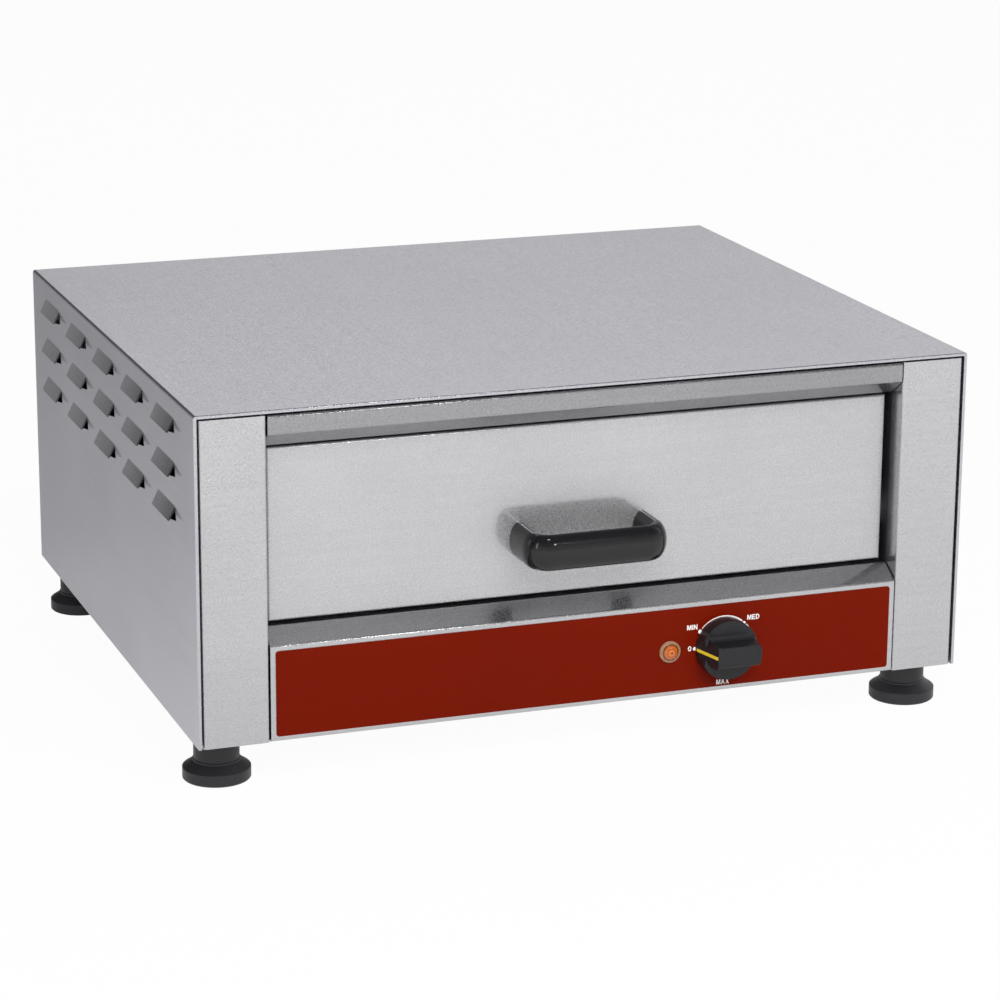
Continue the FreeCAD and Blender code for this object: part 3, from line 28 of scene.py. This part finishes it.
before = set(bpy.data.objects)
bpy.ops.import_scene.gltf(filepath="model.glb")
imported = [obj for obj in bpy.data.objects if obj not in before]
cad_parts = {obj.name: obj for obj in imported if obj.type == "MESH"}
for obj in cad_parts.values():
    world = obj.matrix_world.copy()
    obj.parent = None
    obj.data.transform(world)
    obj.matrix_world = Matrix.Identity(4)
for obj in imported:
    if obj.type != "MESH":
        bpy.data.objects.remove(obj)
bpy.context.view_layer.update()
MM = 0.001

# ---------------------------------------------------------------- camera
CAMERA_PLACE = (-0.8084, -2.2528, 0.8022)
CAMERA_TURN = math.radians(-20.10)
CAMERA_DROP = math.radians(16.00)
CAMERA_ROLL = math.radians(0.40)
CAMERA_LENS = 123.476
SENSOR = 36.0


def make_camera():
    """The photograph's camera: from the front left, a little above the cabinet."""
    data = bpy.data.cameras.new("camera")
    data.sensor_width = SENSOR
    data.lens = CAMERA_LENS
    data.clip_start, data.clip_end = 0.05, 60.0
    camera = bpy.data.objects.new("camera", data)
    bpy.context.scene.collection.objects.link(camera)
    turn, drop = CAMERA_TURN, CAMERA_DROP
    forward = Vector((-math.sin(turn) * math.cos(drop), math.cos(turn) * math.cos(drop),
                      -math.sin(drop)))
    right = Vector((math.cos(turn), math.sin(turn), 0.0))
    up = right.cross(forward)
    cosine, sine = math.cos(CAMERA_ROLL), math.sin(CAMERA_ROLL)
    across = right * cosine + up * sine
    above = up * cosine - right * sine
    matrix = Matrix((across, above, -forward)).transposed().to_4x4()
    matrix.translation = Vector(CAMERA_PLACE)
    camera.matrix_world = matrix
    bpy.context.scene.camera = camera


# ---------------------------------------------------------------- node helpers
class Look:
    """A material under construction, with short calls for its nodes."""

    def __init__(self, name):
        self.material = bpy.data.materials.new(name)
        self.material.use_nodes = True
        self.nodes = self.material.node_tree.nodes
        self.links = self.material.node_tree.links
        self.nodes.clear()
        self.out = self.nodes.new("ShaderNodeOutputMaterial")
        self.shader = self.nodes.new("ShaderNodeBsdfPrincipled")
        self.links.new(self.shader.outputs[0], self.out.inputs[0])
        source = self.nodes.new("ShaderNodeTexCoord")
        source.name = "coordinates"
        self.coordinates = source.outputs["Object"]

    def set(self, **values):
        for key, number in values.items():
            self.shader.inputs[key.replace("_", " ")].default_value = number
        return self

    def link(self, source, target):
        self.links.new(source, self.shader.inputs[target])
        return self

    def stretch(self, scale, place=(0, 0, 0)):
        node = self.nodes.new("ShaderNodeMapping")
        node.inputs["Scale"].default_value = scale
        node.inputs["Location"].default_value = place
        self.links.new(self.coordinates, node.inputs["Vector"])
        return node.outputs[0]

    def noise(self, scale, detail=3.0, rough=0.5, size=1.0, place=(0, 0, 0)):
        node = self.nodes.new("ShaderNodeTexNoise")
        node.inputs["Scale"].default_value = size
        node.inputs["Detail"].default_value = detail
        node.inputs["Roughness"].default_value = rough
        self.links.new(self.stretch(scale, place), node.inputs["Vector"])
        return node.outputs["Fac"]

    def cells(self, scale, kind="F1"):
        node = self.nodes.new("ShaderNodeTexVoronoi")
        node.feature = kind
        node.inputs["Scale"].default_value = 1.0
        self.links.new(self.stretch(scale), node.inputs["Vector"])
        return node.outputs["Color"]

    def math(self, kind, first, second=None, third=None):
        node = self.nodes.new("ShaderNodeMath")
        node.operation = kind
        for number, item in enumerate((first, second, third)):
            if item is None:
                continue
            if isinstance(item, (int, float)):
                node.inputs[number].default_value = item
            else:
                self.links.new(item, node.inputs[number])
        return node.outputs[0]

    def span(self, source, low, high, start=0.0, stop=1.0):
        node = self.nodes.new("ShaderNodeMapRange")
        for key, number in (("From Min", start), ("From Max", stop),
                            ("To Min", low), ("To Max", high)):
            node.inputs[key].default_value = number
        self.links.new(source, node.inputs["Value"])
        return node.outputs[0]

    def ramp(self, source, stops, smooth=False):
        node = self.nodes.new("ShaderNodeValToRGB")
        node.color_ramp.interpolation = "EASE" if smooth else "LINEAR"
        items = node.color_ramp.elements
        while len(items) < len(stops):
            items.new(0.5)
        for item, (place, colour) in zip(items, stops):
            item.position = place
            item.color = tuple(colour) + (1.0,)
        self.links.new(source, node.inputs[0])
        return node.outputs[0]

    def mix(self, share, first, second, kind="MIX"):
        node = self.nodes.new("ShaderNodeMix")
        node.data_type = "RGBA"
        node.blend_type = kind
        for slot, item in ((0, share), (6, first), (7, second)):
            if isinstance(item, (int, float)):
                node.inputs[slot].default_value = item
            elif isinstance(item, (tuple, list)):
                node.inputs[slot].default_value = tuple(item) + (1.0,)
            else:
                self.links.new(item, node.inputs[slot])
        return node.outputs[2]

    def bump(self, height, strength, distance, under=None):
        node = self.nodes.new("ShaderNodeBump")
        node.inputs["Strength"].default_value = strength
        node.inputs["Distance"].default_value = distance
        self.links.new(height, node.inputs["Height"])
        if under is not None:
            self.links.new(under, node.inputs["Normal"])
        return node.outputs[0]

    def direction(self, vector):
        node = self.nodes.new("ShaderNodeCombineXYZ")
        for number in range(3):
            node.inputs[number].default_value = vector[number]
        return node.outputs[0]

    def parts(self, vector):
        node = self.nodes.new("ShaderNodeSeparateXYZ")
        self.links.new(vector, node.inputs[0])
        return node.outputs

    def apart(self, centre):
        """Distance from a line through centre along Y."""
        node = self.nodes.new("ShaderNodeSeparateXYZ")
        self.links.new(self.coordinates, node.inputs[0])
        across = self.math("SUBTRACT", node.outputs[0], centre[0])
        rise = self.math("SUBTRACT", node.outputs[2], centre[2])
        return self.math("SQRT", self.math("ADD", self.math("MULTIPLY", across, across),
                                           self.math("MULTIPLY", rise, rise)))


def shades(colour, low, high):
    """The same hue, darker and lighter."""
    return (tuple(channel * low for channel in colour),
            tuple(min(channel * high, 1.0) for channel in colour))


# ---------------------------------------------------------------- steel
WALL_FACE = 0.2727
LOUVRE_START, LOUVRE_PITCH, LOUVRE_LENGTH = -0.1753, 0.0812, 0.0428
# Painted shade on each louvre flap: its depth at the front and at the back of the casing, and on
# the flap ends and inner sides.
FRONT_PAINTED_SHADE, REAR_PAINTED_SHADE, HIDDEN_PAINTED_SHADE = 0.55, 0.20, 0.72
GRIT = 2400.0


def paint_louvre_shade(look, tone):
    """Painted shade on each louvre: darker towards its front end, with painted shade on its open
    ends and inner sides.
    """
    facing = look.nodes["coordinates"].outputs["Normal"]
    place, normal = look.parts(look.coordinates), look.parts(facing)
    raised = look.math("GREATER_THAN", look.math("ABSOLUTE", place[0]), WALL_FACE)
    step = look.math("DIVIDE", look.math("SUBTRACT", place[1], LOUVRE_START), LOUVRE_PITCH)
    phase = look.math("FRACT", look.math("ADD", step, 8.0))
    fade = look.span(phase, 1.0, 0.0, 0.0, LOUVRE_LENGTH / LOUVRE_PITCH)
    depth = look.span(place[1], FRONT_PAINTED_SHADE, REAR_PAINTED_SHADE, LOUVRE_START, -LOUVRE_START)
    outer = look.math("SUBTRACT", 1.0, look.math("MULTIPLY", fade, depth))
    # Painted shade: the inner sides and end faces of the raised flaps are darkened.
    inward = look.math("LESS_THAN", look.math("MULTIPLY", place[0], normal[0]), -0.01)
    end = look.math("GREATER_THAN", look.math("ABSOLUTE", normal[1]), 0.5)
    painted_dark_faces = look.math("MAXIMUM", inward, end)
    level = look.math("MULTIPLY", outer, look.math(
        "SUBTRACT", 1.0, look.math("MULTIPLY", painted_dark_faces, HIDDEN_PAINTED_SHADE)))
    level = look.math("ADD", 1.0, look.math("MULTIPLY", raised,
                                            look.math("SUBTRACT", level, 1.0)))
    grey = look.nodes.new("ShaderNodeCombineColor")
    for number in range(3):
        look.links.new(level, grey.inputs[number])
    return look.mix(1.0, tone, grey.outputs[0], "MULTIPLY")


def brushed_steel(name, colour, grain, rough=0.48, anisotropy=0.35, contrast=0.05,
                  sharp=0.11, painted_louvre_shade=False, metal=1.0):
    """Satin sheet steel with fine brushing along one axis, soft clouds and faint specks, and
    optional painted shade on the louvre flaps.
    """
    look = Look(name)
    along = [1500.0, 1500.0, 1500.0]
    along[grain] = 9.0
    fine = look.noise(along, 4.0, 0.65)
    wide = [220.0, 220.0, 220.0]
    wide[grain] = 3.0
    bands = look.noise(wide, 2.0, 0.5, place=(3.1, 1.7, 2.9))
    clouds = look.noise((7.0, 7.0, 7.0), 3.0, 0.55)
    specks = look.noise((900.0, 900.0, 900.0), 2.0, 0.7)
    dark, light = shades(colour, 1.0 - contrast, 1.0 + contrast)
    streaks = look.mix(look.span(fine, 0.0, 1.0, 0.3, 0.7), dark, light)
    banded = look.mix(look.span(bands, 0.0, 0.45, 0.35, 0.7), streaks, light)
    dim, pale = shades((1.0, 1.0, 1.0), 0.93, 1.0)
    clouded = look.mix(1.0, banded, look.mix(look.span(clouds, 0.0, 1.0, 0.35, 0.65), dim, pale),
                       "MULTIPLY")
    speckled = look.mix(look.span(specks, 0.0, 0.10, 0.62, 0.8), clouded,
                        (0.85, 0.85, 0.87))
    # Painted shade on the louvre flaps, when asked for, is multiplied into the steel colour.
    look.link(paint_louvre_shade(look, speckled) if painted_louvre_shade else speckled, "Base Color")
    grit = look.noise((GRIT, GRIT, GRIT), 1.0, 0.5)
    level = look.math("ADD", look.span(grit, sharp, rough, 0.48, 0.53),
                      look.span(clouds, -0.03, 0.03, 0.3, 0.7))
    look.link(level, "Roughness")
    look.link(look.bump(fine, 0.012, 0.0001), "Normal")
    look.set(Metallic=metal, Anisotropic=anisotropy)
    tangent = [0.0, 0.0, 0.0]
    tangent[grain] = 1.0
    look.link(look.direction(tangent), "Tangent")
    return look.material


def plated(name, colour, rough=0.24, flake=260.0):
    """Zinc plated steel with a faint spangle."""
    look = Look(name)
    grains = look.cells((flake, flake, flake))
    clouds = look.noise((40.0, 40.0, 40.0), 3.0, 0.6)
    dark, light = shades(colour, 0.86, 1.08)
    look.link(look.mix(look.span(grains, 0.0, 1.0), dark, light), "Base Color")
    look.link(look.math("ADD", look.span(grains, rough - 0.05, rough + 0.05),
                        look.span(clouds, -0.04, 0.05, 0.3, 0.7)), "Roughness")
    look.link(look.bump(clouds, 0.12, 0.0003), "Normal")
    look.set(Metallic=1.0)
    return look.material


# ---------------------------------------------------------------- plastics and the rest
def moulded(name, colour, rough, grit=1400.0, depth=0.12, spread=0.10, gloss=0.5, coat=0.0):
    """Moulded plastic: fine grit, faint flow clouds and dust-pale specks."""
    look = Look(name)
    fine = look.noise((grit, grit, grit), 3.0, 0.6)
    clouds = look.noise((26.0, 26.0, 26.0), 3.0, 0.6)
    dark, light = shades(colour, 1.0 - spread, 1.0 + spread)
    tone = look.mix(look.span(clouds, 0.0, 1.0, 0.3, 0.7), dark, light)
    look.link(look.mix(look.span(fine, 0.0, 0.05, 0.6, 0.8), tone, (0.4, 0.4, 0.4)),
              "Base Color")
    look.link(look.math("ADD", look.span(fine, rough - 0.04, rough + 0.04, 0.3, 0.7),
                        look.span(clouds, -0.03, 0.03, 0.3, 0.7)), "Roughness")
    look.link(look.bump(fine, depth, 0.0002), "Normal")
    look.set(Specular_IOR_Level=gloss, Coat_Weight=coat, Coat_Roughness=0.08)
    return look.material


def red_film(name):
    """Printed polyester film: deep red under a satin clear layer."""
    look = Look(name)
    colour = (0.140, 0.0062, 0.0004)
    fine = look.noise((2200.0, 2200.0, 2200.0), 2.0, 0.6)
    clouds = look.noise((5.0, 5.0, 5.0), 3.0, 0.5)
    dark, light = shades(colour, 0.95, 1.05)
    look.link(look.mix(look.span(clouds, 0.0, 1.0, 0.3, 0.7), dark, light), "Base Color")
    look.link(look.span(fine, 0.30, 0.38, 0.3, 0.7), "Roughness")
    look.link(look.bump(fine, 0.06, 0.00005), "Normal")
    look.set(Specular_IOR_Level=0.05)
    return look.material


def amber_lens(name, centre):
    """Faceted amber cap with a darker core and ring, lit faintly from behind."""
    look = Look(name)
    distance = look.math("MULTIPLY", look.apart(centre), 1000.0)
    share = look.math("DIVIDE", distance, 5.8)
    clouds = look.noise((900.0, 900.0, 900.0), 2.0, 0.5)
    colour = look.ramp(share, [(0.0, (0.10, 0.020, 0.003)), (0.13, (0.14, 0.025, 0.003)),
                               (0.20, (0.62, 0.15, 0.010)), (0.42, (0.50, 0.11, 0.007)),
                               (0.52, (0.22, 0.04, 0.004)), (0.62, (0.55, 0.13, 0.010)),
                               (0.84, (0.36, 0.07, 0.006)), (0.93, (0.07, 0.018, 0.006)),
                               (1.0, (0.04, 0.012, 0.005))])
    tone = look.mix(look.span(clouds, 0.0, 0.20, 0.3, 0.7), colour, (0.3, 0.06, 0.01))
    look.link(tone, "Base Color")
    look.link(tone, "Emission Color")
    look.link(look.span(clouds, 0.08, 0.16, 0.3, 0.7), "Roughness")
    look.set(Emission_Strength=0.06, Coat_Weight=0.4, Coat_Roughness=0.05, IOR=1.5)
    return look.material


def lamp_ring(name):
    """Translucent brown ring of the pilot lamp."""
    look = Look(name)
    clouds = look.noise((700.0, 700.0, 700.0), 2.0, 0.5)
    look.link(look.mix(look.span(clouds, 0.0, 1.0, 0.3, 0.7), (0.26, 0.13, 0.07),
                       (0.36, 0.20, 0.11)), "Base Color")
    look.link(look.span(clouds, 0.20, 0.30, 0.3, 0.7), "Roughness")
    look.set(Coat_Weight=0.3, Coat_Roughness=0.1)
    return look.material


def sheath(name):
    """Heat-darkened element sheath with straw and blue tempering."""
    look = Look(name)
    clouds = look.noise((30.0, 30.0, 30.0), 4.0, 0.6)
    fine = look.noise((900.0, 60.0, 900.0), 3.0, 0.6)
    look.link(look.ramp(clouds, [(0.25, (0.16, 0.15, 0.15)), (0.5, (0.26, 0.21, 0.15)),
                                 (0.75, (0.17, 0.17, 0.20))]), "Base Color")
    look.link(look.span(fine, 0.36, 0.52, 0.3, 0.7), "Roughness")
    look.link(look.bump(fine, 0.15, 0.0002), "Normal")
    look.set(Metallic=0.9)
    return look.material


STEEL = (0.60, 0.60, 0.615)
CASING = (0.602, 0.600, 0.640)
LAMP = tuple((low + high) / 2 for low, high in zip(*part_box("lamp_lens")))

LOOKS = {
    "casing": brushed_steel("casing_steel", CASING, 1, painted_louvre_shade=True),
    "front": brushed_steel("front_steel", STEEL, 0),
    "post": brushed_steel("post_steel", STEEL, 2),
    "drawer": brushed_steel("drawer_steel", (0.535, 0.535, 0.548), 0, metal=0.72),
    # Painted shade: the rail is the same steel given a darker colour, standing in for the shade
    # on its face.
    "rail": brushed_steel("rail_steel_painted_shade", (0.385, 0.385, 0.40), 0),
    "inner_steel": brushed_steel("inner_steel", (0.56, 0.56, 0.575), 0, 0.45, 0.2, 0.07,
                                 0.30),
    "runner_steel": plated("runner_steel", (0.50, 0.51, 0.53), 0.34, 420.0),
    "plated_steel": plated("plated_steel", (0.70, 0.70, 0.71), 0.22, 900.0),
    "red_film": red_film("red_film"),
    "lamp_ring": lamp_ring("lamp_ring"),
    "amber_lens": amber_lens("amber_lens", LAMP),
    "grey_plastic": moulded("grey_plastic", (0.12, 0.12, 0.13), 0.45),
    "white_plastic": moulded("white_plastic", (0.75, 0.74, 0.70), 0.40, spread=0.03),
    "knob_plastic": moulded("knob_plastic", (0.011, 0.011, 0.013), 0.34, gloss=0.38),
    "yellow_mark": moulded("yellow_mark", (0.85, 0.62, 0.04), 0.45, spread=0.06),
    "handle_plastic": moulded("handle_plastic", (0.004, 0.004, 0.005), 0.11, depth=0.02),
    "foot_plastic": moulded("foot_plastic", (0.013, 0.013, 0.016), 0.42),
    "black_nylon": moulded("black_nylon", (0.022, 0.022, 0.022), 0.45),
    "white_nylon": moulded("white_nylon", (0.78, 0.78, 0.74), 0.42, spread=0.03),
    "element_sheath": sheath("element_sheath"),
    "ceramic": moulded("ceramic", (0.80, 0.78, 0.72), 0.62, spread=0.05),
    "copper_tube": plated("copper_tube", (0.60, 0.30, 0.17), 0.30, 500.0),
    "brass": plated("brass", (0.70, 0.52, 0.22), 0.28, 500.0),
    "wire_sleeve": moulded("wire_sleeve", (0.25, 0.10, 0.06), 0.55),
}

BY_NODE = {"outer_casing": "casing", "rear_panel": "front", "left_pillar": "front",
           "right_pillar": "front", "top_rail": "rail", "control_panel": "front",
           "drawer_front": "drawer"}


def dress_nodes():
    """Give every CAD node its finished material."""
    for name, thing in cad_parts.items():
        key = BY_NODE.get(name) or thing.data.materials[0].name.split(".")[0]
        for number in range(len(thing.data.materials)):
            thing.data.materials[number] = LOOKS[key]


# ---------------------------------------------------------------- printed dial
DIAL = Vector((96.0, -225.3, 65.2)) * MM
PRINT = 0.03 * MM
INK = moulded("white_ink", (0.85, 0.85, 0.84), 0.50, spread=0.02, depth=0.05)


def new_piece(name, data, material, body):
    """A finished piece that rides on a body."""
    thing = bpy.data.objects.new(name, data)
    bpy.context.scene.collection.objects.link(thing)
    data.materials.clear()
    data.materials.append(material)
    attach(thing, body)
    return thing


def slab(name, outlines, material=INK, body="cabinet"):
    """Flat printed shapes on the label; outlines are lists of (across, up) about the dial."""
    work = bmesh.new()
    for outline in outlines:
        front = [work.verts.new((DIAL.x + x, DIAL.y - PRINT, DIAL.z + z)) for x, z in outline]
        back = [work.verts.new((DIAL.x + x, DIAL.y, DIAL.z + z)) for x, z in outline]
        work.faces.new(front)
        work.faces.new(back[::-1])
        for number in range(len(front)):
            after = (number + 1) % len(front)
            work.faces.new((front[after], front[number], back[number], back[after]))
    bmesh.ops.recalc_face_normals(work, faces=work.faces)
    data = bpy.data.meshes.new(name)
    work.to_mesh(data)
    work.free()
    return new_piece(name, data, material, body)


def disc(angle, radius, size, count=24):
    """A dot's outline, at an angle from the right, anticlockwise."""
    turn = math.radians(angle)
    middle = (radius * math.cos(turn), radius * math.sin(turn))
    return [(middle[0] + size / 2 * math.cos(2 * math.pi * k / count),
             middle[1] + size / 2 * math.sin(2 * math.pi * k / count)) for k in range(count)]


def taper(start, stop, radius, thin, thick, count=48):
    """A curved line that widens from start to stop, clockwise."""
    outer, inner = [], []
    for k in range(count + 1):
        share = k / count
        turn = math.radians(start + (stop - start) * share)
        half = (thin + (thick - thin) * share) / 2
        for line, reach in ((outer, radius + half), (inner, radius - half)):
            line.append((reach * math.cos(turn), reach * math.sin(turn)))
    return outer + inner[::-1]


def ring_part(start, stop, wide, tall, stroke, middle=(0.5, 0.5), count=14):
    """Outline of part of an oval ring, in parts of a letter's box."""
    outer, inner = [], []
    for k in range(count + 1):
        turn = math.radians(start + (stop - start) * k / count)
        for line, inset in ((outer, 0.0), (inner, 1.0)):
            line.append((middle[0] + (wide - inset * stroke[0]) * math.cos(turn),
                         middle[1] + (tall - inset * stroke[1]) * math.sin(turn)))
    return outer + inner[::-1]


def letters():
    """Bold capitals as closed outlines: (width, outlines), both in cap heights."""
    bar = 0.20
    return {
        "M": (0.96, [[(0, 0), (0, 1), (0.26, 1), (0.48, 0.38), (0.70, 1), (0.96, 1), (0.96, 0),
                      (0.78, 0), (0.78, 0.72), (0.56, 0), (0.40, 0), (0.18, 0.72), (0.18, 0)]]),
        "I": (bar, [[(0, 0), (0, 1), (bar, 1), (bar, 0)]]),
        "N": (0.80, [[(0, 0), (0, 1), (0.21, 1), (0.61, 0.33), (0.61, 1), (0.80, 1), (0.80, 0),
                      (0.59, 0), (0.19, 0.67), (0.19, 0)]]),
        "E": (0.70, [[(0, 0), (0, 1), (0.68, 1), (0.68, 0.83), (bar, 0.83), (bar, 0.60),
                      (0.63, 0.60), (0.63, 0.43), (bar, 0.43), (bar, 0.17), (0.70, 0.17),
                      (0.70, 0)]]),
        "D": (0.80, [[(0, 0), (0, 1), (bar, 1), (bar, 0)],
                     [(bar, 0.83), (bar, 1), (0.38, 1), (0.38, 0.83)],
                     [(bar, 0), (bar, 0.17), (0.38, 0.17), (0.38, 0)],
                     ring_part(90, -90, 0.42, 0.5, (bar, 0.17), (0.38, 0.5))]),
        "A": (0.88, [[(0, 0), (0.33, 1), (0.55, 1), (0.88, 0), (0.67, 0), (0.60, 0.22),
                      (0.28, 0.22), (0.33, 0.38), (0.55, 0.38), (0.44, 0.76), (0.21, 0)]]),
        "X": (0.84, [[(0, 0), (0.30, 0.51), (0.02, 1), (0.25, 1), (0.42, 0.68), (0.59, 1),
                      (0.82, 1), (0.54, 0.51), (0.84, 0), (0.60, 0), (0.42, 0.34),
                      (0.24, 0)]]),
        "0": (0.66, [ring_part(0, 360, 0.33, 0.5, (0.185, 0.16), (0.33, 0.5), 40)]),
    }


def word(name, text, middle, tall, wide, gap=0.15):
    """A printed word, scaled to a cap height and width, centred at middle."""
    shapes = letters()
    total = sum(shapes[letter][0] for letter in text) + gap * (len(text) - 1)
    outlines, start = [], 0.0
    for letter in text:
        width, parts = shapes[letter]
        for outline in parts:
            outlines.append([((middle[0] + ((start + x) / total - 0.5) * wide) * MM,
                              (middle[1] + (z - 0.5) * tall) * MM) for x, z in outline])
        start += width + gap
    return slab(name, outlines)


def print_dial():
    """Scale round the knob: dots, a widening arc and four words."""
    ring = 21.2 * MM
    slab("dial_dots", [disc(180.0, ring, 2.6 * MM), disc(145.7, ring, 2.8 * MM),
                       disc(45.0, ring, 2.2 * MM)])
    slab("dial_arc", [taper(139.0, 50.5, ring, 0.5 * MM, 1.1 * MM),
                      taper(39.5, 29.0, ring, 1.5 * MM, 1.7 * MM, 10)])
    word("dial_min", "MIN", (-23.3, 15.5), 3.5, 7.6)
    word("dial_med", "MED", (21.7, 18.4), 3.5, 9.0)
    word("dial_zero", "0", (-24.9, 0.4), 3.6, 2.4)
    word("dial_max", "MAX", (0.1, -25.7), 3.6, 9.4)


# ---------------------------------------------------------------- studio
FLOOR_SIZE = 9.0
# Painted pool of light on the floor, seen by glossy rays: white in front, greying towards the
# back.
PAINTED_POOL_SPAN = (-0.6, 1.8)
PAINTED_POOL_STOPS = [(0.0, (1.0, 1.0, 1.0)), (0.14, (0.95, 0.95, 0.95)), (0.27, (0.70, 0.70, 0.71)),
              (0.42, (0.46, 0.46, 0.47)), (0.7, (0.32, 0.32, 0.33)), (1.0, (0.30, 0.30, 0.31))]


def make_floor():
    """Plain pale floor that shows white to the camera and keeps a soft shadow; in reflections it
    carries a painted pool of light, bright in front and darker towards the back.
    """
    data = bpy.data.meshes.new("floor")
    half = FLOOR_SIZE / 2
    data.from_pydata([(-half, -half, 0), (half, -half, 0), (half, half, 0), (-half, half, 0)],
                     [], [(0, 1, 2, 3)])
    floor = bpy.data.objects.new("floor", data)
    bpy.context.scene.collection.objects.link(floor)
    look = Look("floor_white")
    tone = look.noise((3.0, 3.0, 3.0), 2.0, 0.5)
    look.link(look.mix(look.span(tone, 0.0, 1.0, 0.3, 0.7), (0.80, 0.80, 0.80),
                       (0.82, 0.82, 0.82)), "Base Color")
    look.set(Roughness=0.9, Specular_IOR_Level=0.1)
    glow = look.nodes.new("ShaderNodeEmission")
    path = look.nodes.new("ShaderNodeLightPath")
    blend = look.nodes.new("ShaderNodeMixShader")
    back = look.parts(look.coordinates)[1]
    # Painted pool of light: the floor's glow for glossy rays fades from white in front to grey
    # at the back.
    pool = look.ramp(look.span(back, 0.0, 1.0, PAINTED_POOL_SPAN[0], PAINTED_POOL_SPAN[1]), PAINTED_POOL_STOPS)
    look.links.new(look.mix(path.outputs["Is Glossy Ray"], (1.0, 1.0, 1.0), pool),
                   glow.inputs[0])
    seen = look.math("MULTIPLY", path.outputs["Is Camera Ray"], 0.96)
    mirrored = look.math("MULTIPLY", path.outputs["Is Glossy Ray"], 0.65)
    through = look.math("MULTIPLY", path.outputs["Is Transmission Ray"], 0.88)
    share = look.math("ADD", look.math("ADD", seen, mirrored), through)
    look.links.new(share, blend.inputs[0])
    look.links.new(look.shader.outputs[0], blend.inputs[1])
    look.links.new(glow.outputs[0], blend.inputs[2])
    look.links.new(blend.outputs[0], look.out.inputs[0])
    data.materials.append(look.material)


AHEAD = [(-1.0, 0.90), (-0.15, 0.90), (0.0, 0.85), (0.15, 0.70), (0.35, 0.38), (0.6, 0.24),
         (1.0, 0.20)]
REAR_RIGHT = [(-1.0, 0.45), (0.0, 0.48), (0.1, 0.52), (0.2, 0.68), (0.27, 0.95), (0.34, 1.0),
              (0.55, 0.90), (0.75, 0.40), (1.0, 0.20)]
REAR_LEFT = [(-1.0, 0.42), (0.0, 0.34), (0.07, 0.30), (0.18, 0.10), (0.35, 0.05), (0.6, 0.12),
             (1.0, 0.20)]


def make_world():
    """White to the camera; a soft grey room for the light and the reflections."""
    world = bpy.data.worlds.new("studio")
    bpy.context.scene.world = world
    world.use_nodes = True
    nodes, links = world.node_tree.nodes, world.node_tree.links
    nodes.clear()
    out = nodes.new("ShaderNodeOutputWorld")
    room = nodes.new("ShaderNodeBackground")
    white = nodes.new("ShaderNodeBackground")
    white.inputs[0].default_value = (1, 1, 1, 1)
    white.inputs[1].default_value = 1.0
    coordinates = nodes.new("ShaderNodeTexCoord")
    parts = nodes.new("ShaderNodeSeparateXYZ")
    links.new(coordinates.outputs["Generated"], parts.inputs[0])

    def band(stops):
        """Brightness by height, from straight down to straight up."""
        ramp = nodes.new("ShaderNodeValToRGB")
        items = ramp.color_ramp.elements
        while len(items) < len(stops):
            items.new(0.5)
        for item, (height, level) in zip(items, stops):
            item.position = (height + 1.0) / 2
            item.color = (level, level, level * 1.01, 1)
        links.new(rise.outputs[0], ramp.inputs[0])
        return ramp.outputs[0]

    def across(source, start, stop, first, second):
        """Blend two colours as a direction's part goes from start to stop."""
        share = nodes.new("ShaderNodeMapRange")
        share.interpolation_type = "SMOOTHSTEP"
        share.inputs["From Min"].default_value = start
        share.inputs["From Max"].default_value = stop
        links.new(source, share.inputs["Value"])
        mix = nodes.new("ShaderNodeMix")
        mix.data_type = "RGBA"
        links.new(share.outputs[0], mix.inputs[0])
        links.new(first, mix.inputs[6])
        links.new(second, mix.inputs[7])
        return mix.outputs[2]

    rise = nodes.new("ShaderNodeMapRange")
    rise.inputs["From Min"].default_value = -1.0
    links.new(parts.outputs[2], rise.inputs["Value"])
    back = across(parts.outputs[0], 0.06, 0.24, band(REAR_LEFT), band(REAR_RIGHT))
    around = across(parts.outputs[1], -0.35, 0.05, band(AHEAD), back)
    links.new(around, room.inputs[0])
    room.inputs[1].default_value = 1.0
    path = nodes.new("ShaderNodeLightPath")
    blend = nodes.new("ShaderNodeMixShader")
    links.new(path.outputs["Is Camera Ray"], blend.inputs[0])
    links.new(room.outputs[0], blend.inputs[1])
    links.new(white.outputs[0], blend.inputs[2])
    links.new(blend.outputs[0], out.inputs[0])


def soft_light(name, place, target, size, power, mirrored=False):
    """A large soft lamp aimed at a point."""
    data = bpy.data.lights.new(name, "AREA")
    data.shape = "RECTANGLE"
    data.size, data.size_y = size
    data.energy = power
    lamp = bpy.data.objects.new(name, data)
    bpy.context.scene.collection.objects.link(lamp)
    aim = Vector(target) - Vector(place)
    lamp.matrix_world = Matrix.Translation(Vector(place)) @ aim.to_track_quat(
        "-Z", "Y").to_matrix().to_4x4()
    lamp.visible_glossy = mirrored
    return lamp


HANDLE = (0.0, -0.24, 0.15)


def make_lights():
    soft_light("key", (-0.2, -2.3, 1.9), (0, -0.7, 0.0), (2.6, 1.2), 78.0)
    soft_light("rear", (0.6, 2.9, 2.5), (0, 0, 0.25), (3.6, 1.4), 13.0)
    soft_light("high_spark", (-0.21, -1.23, 1.87), HANDLE, (0.32, 0.20), 3.0, True)
    soft_light("low_spark", (0.47, -2.0, 0.98), HANDLE, (0.20, 0.16), 2.2, True)
    soft_light("left_strip", (-2.2, -1.1, 0.8), HANDLE, (0.30, 0.90), 3.0, True)


def set_view():
    scene = bpy.context.scene
    scene.view_settings.view_transform = "Standard"


dress_nodes()
print_dial()
make_floor()
make_world()
make_lights()
make_camera()
set_view()
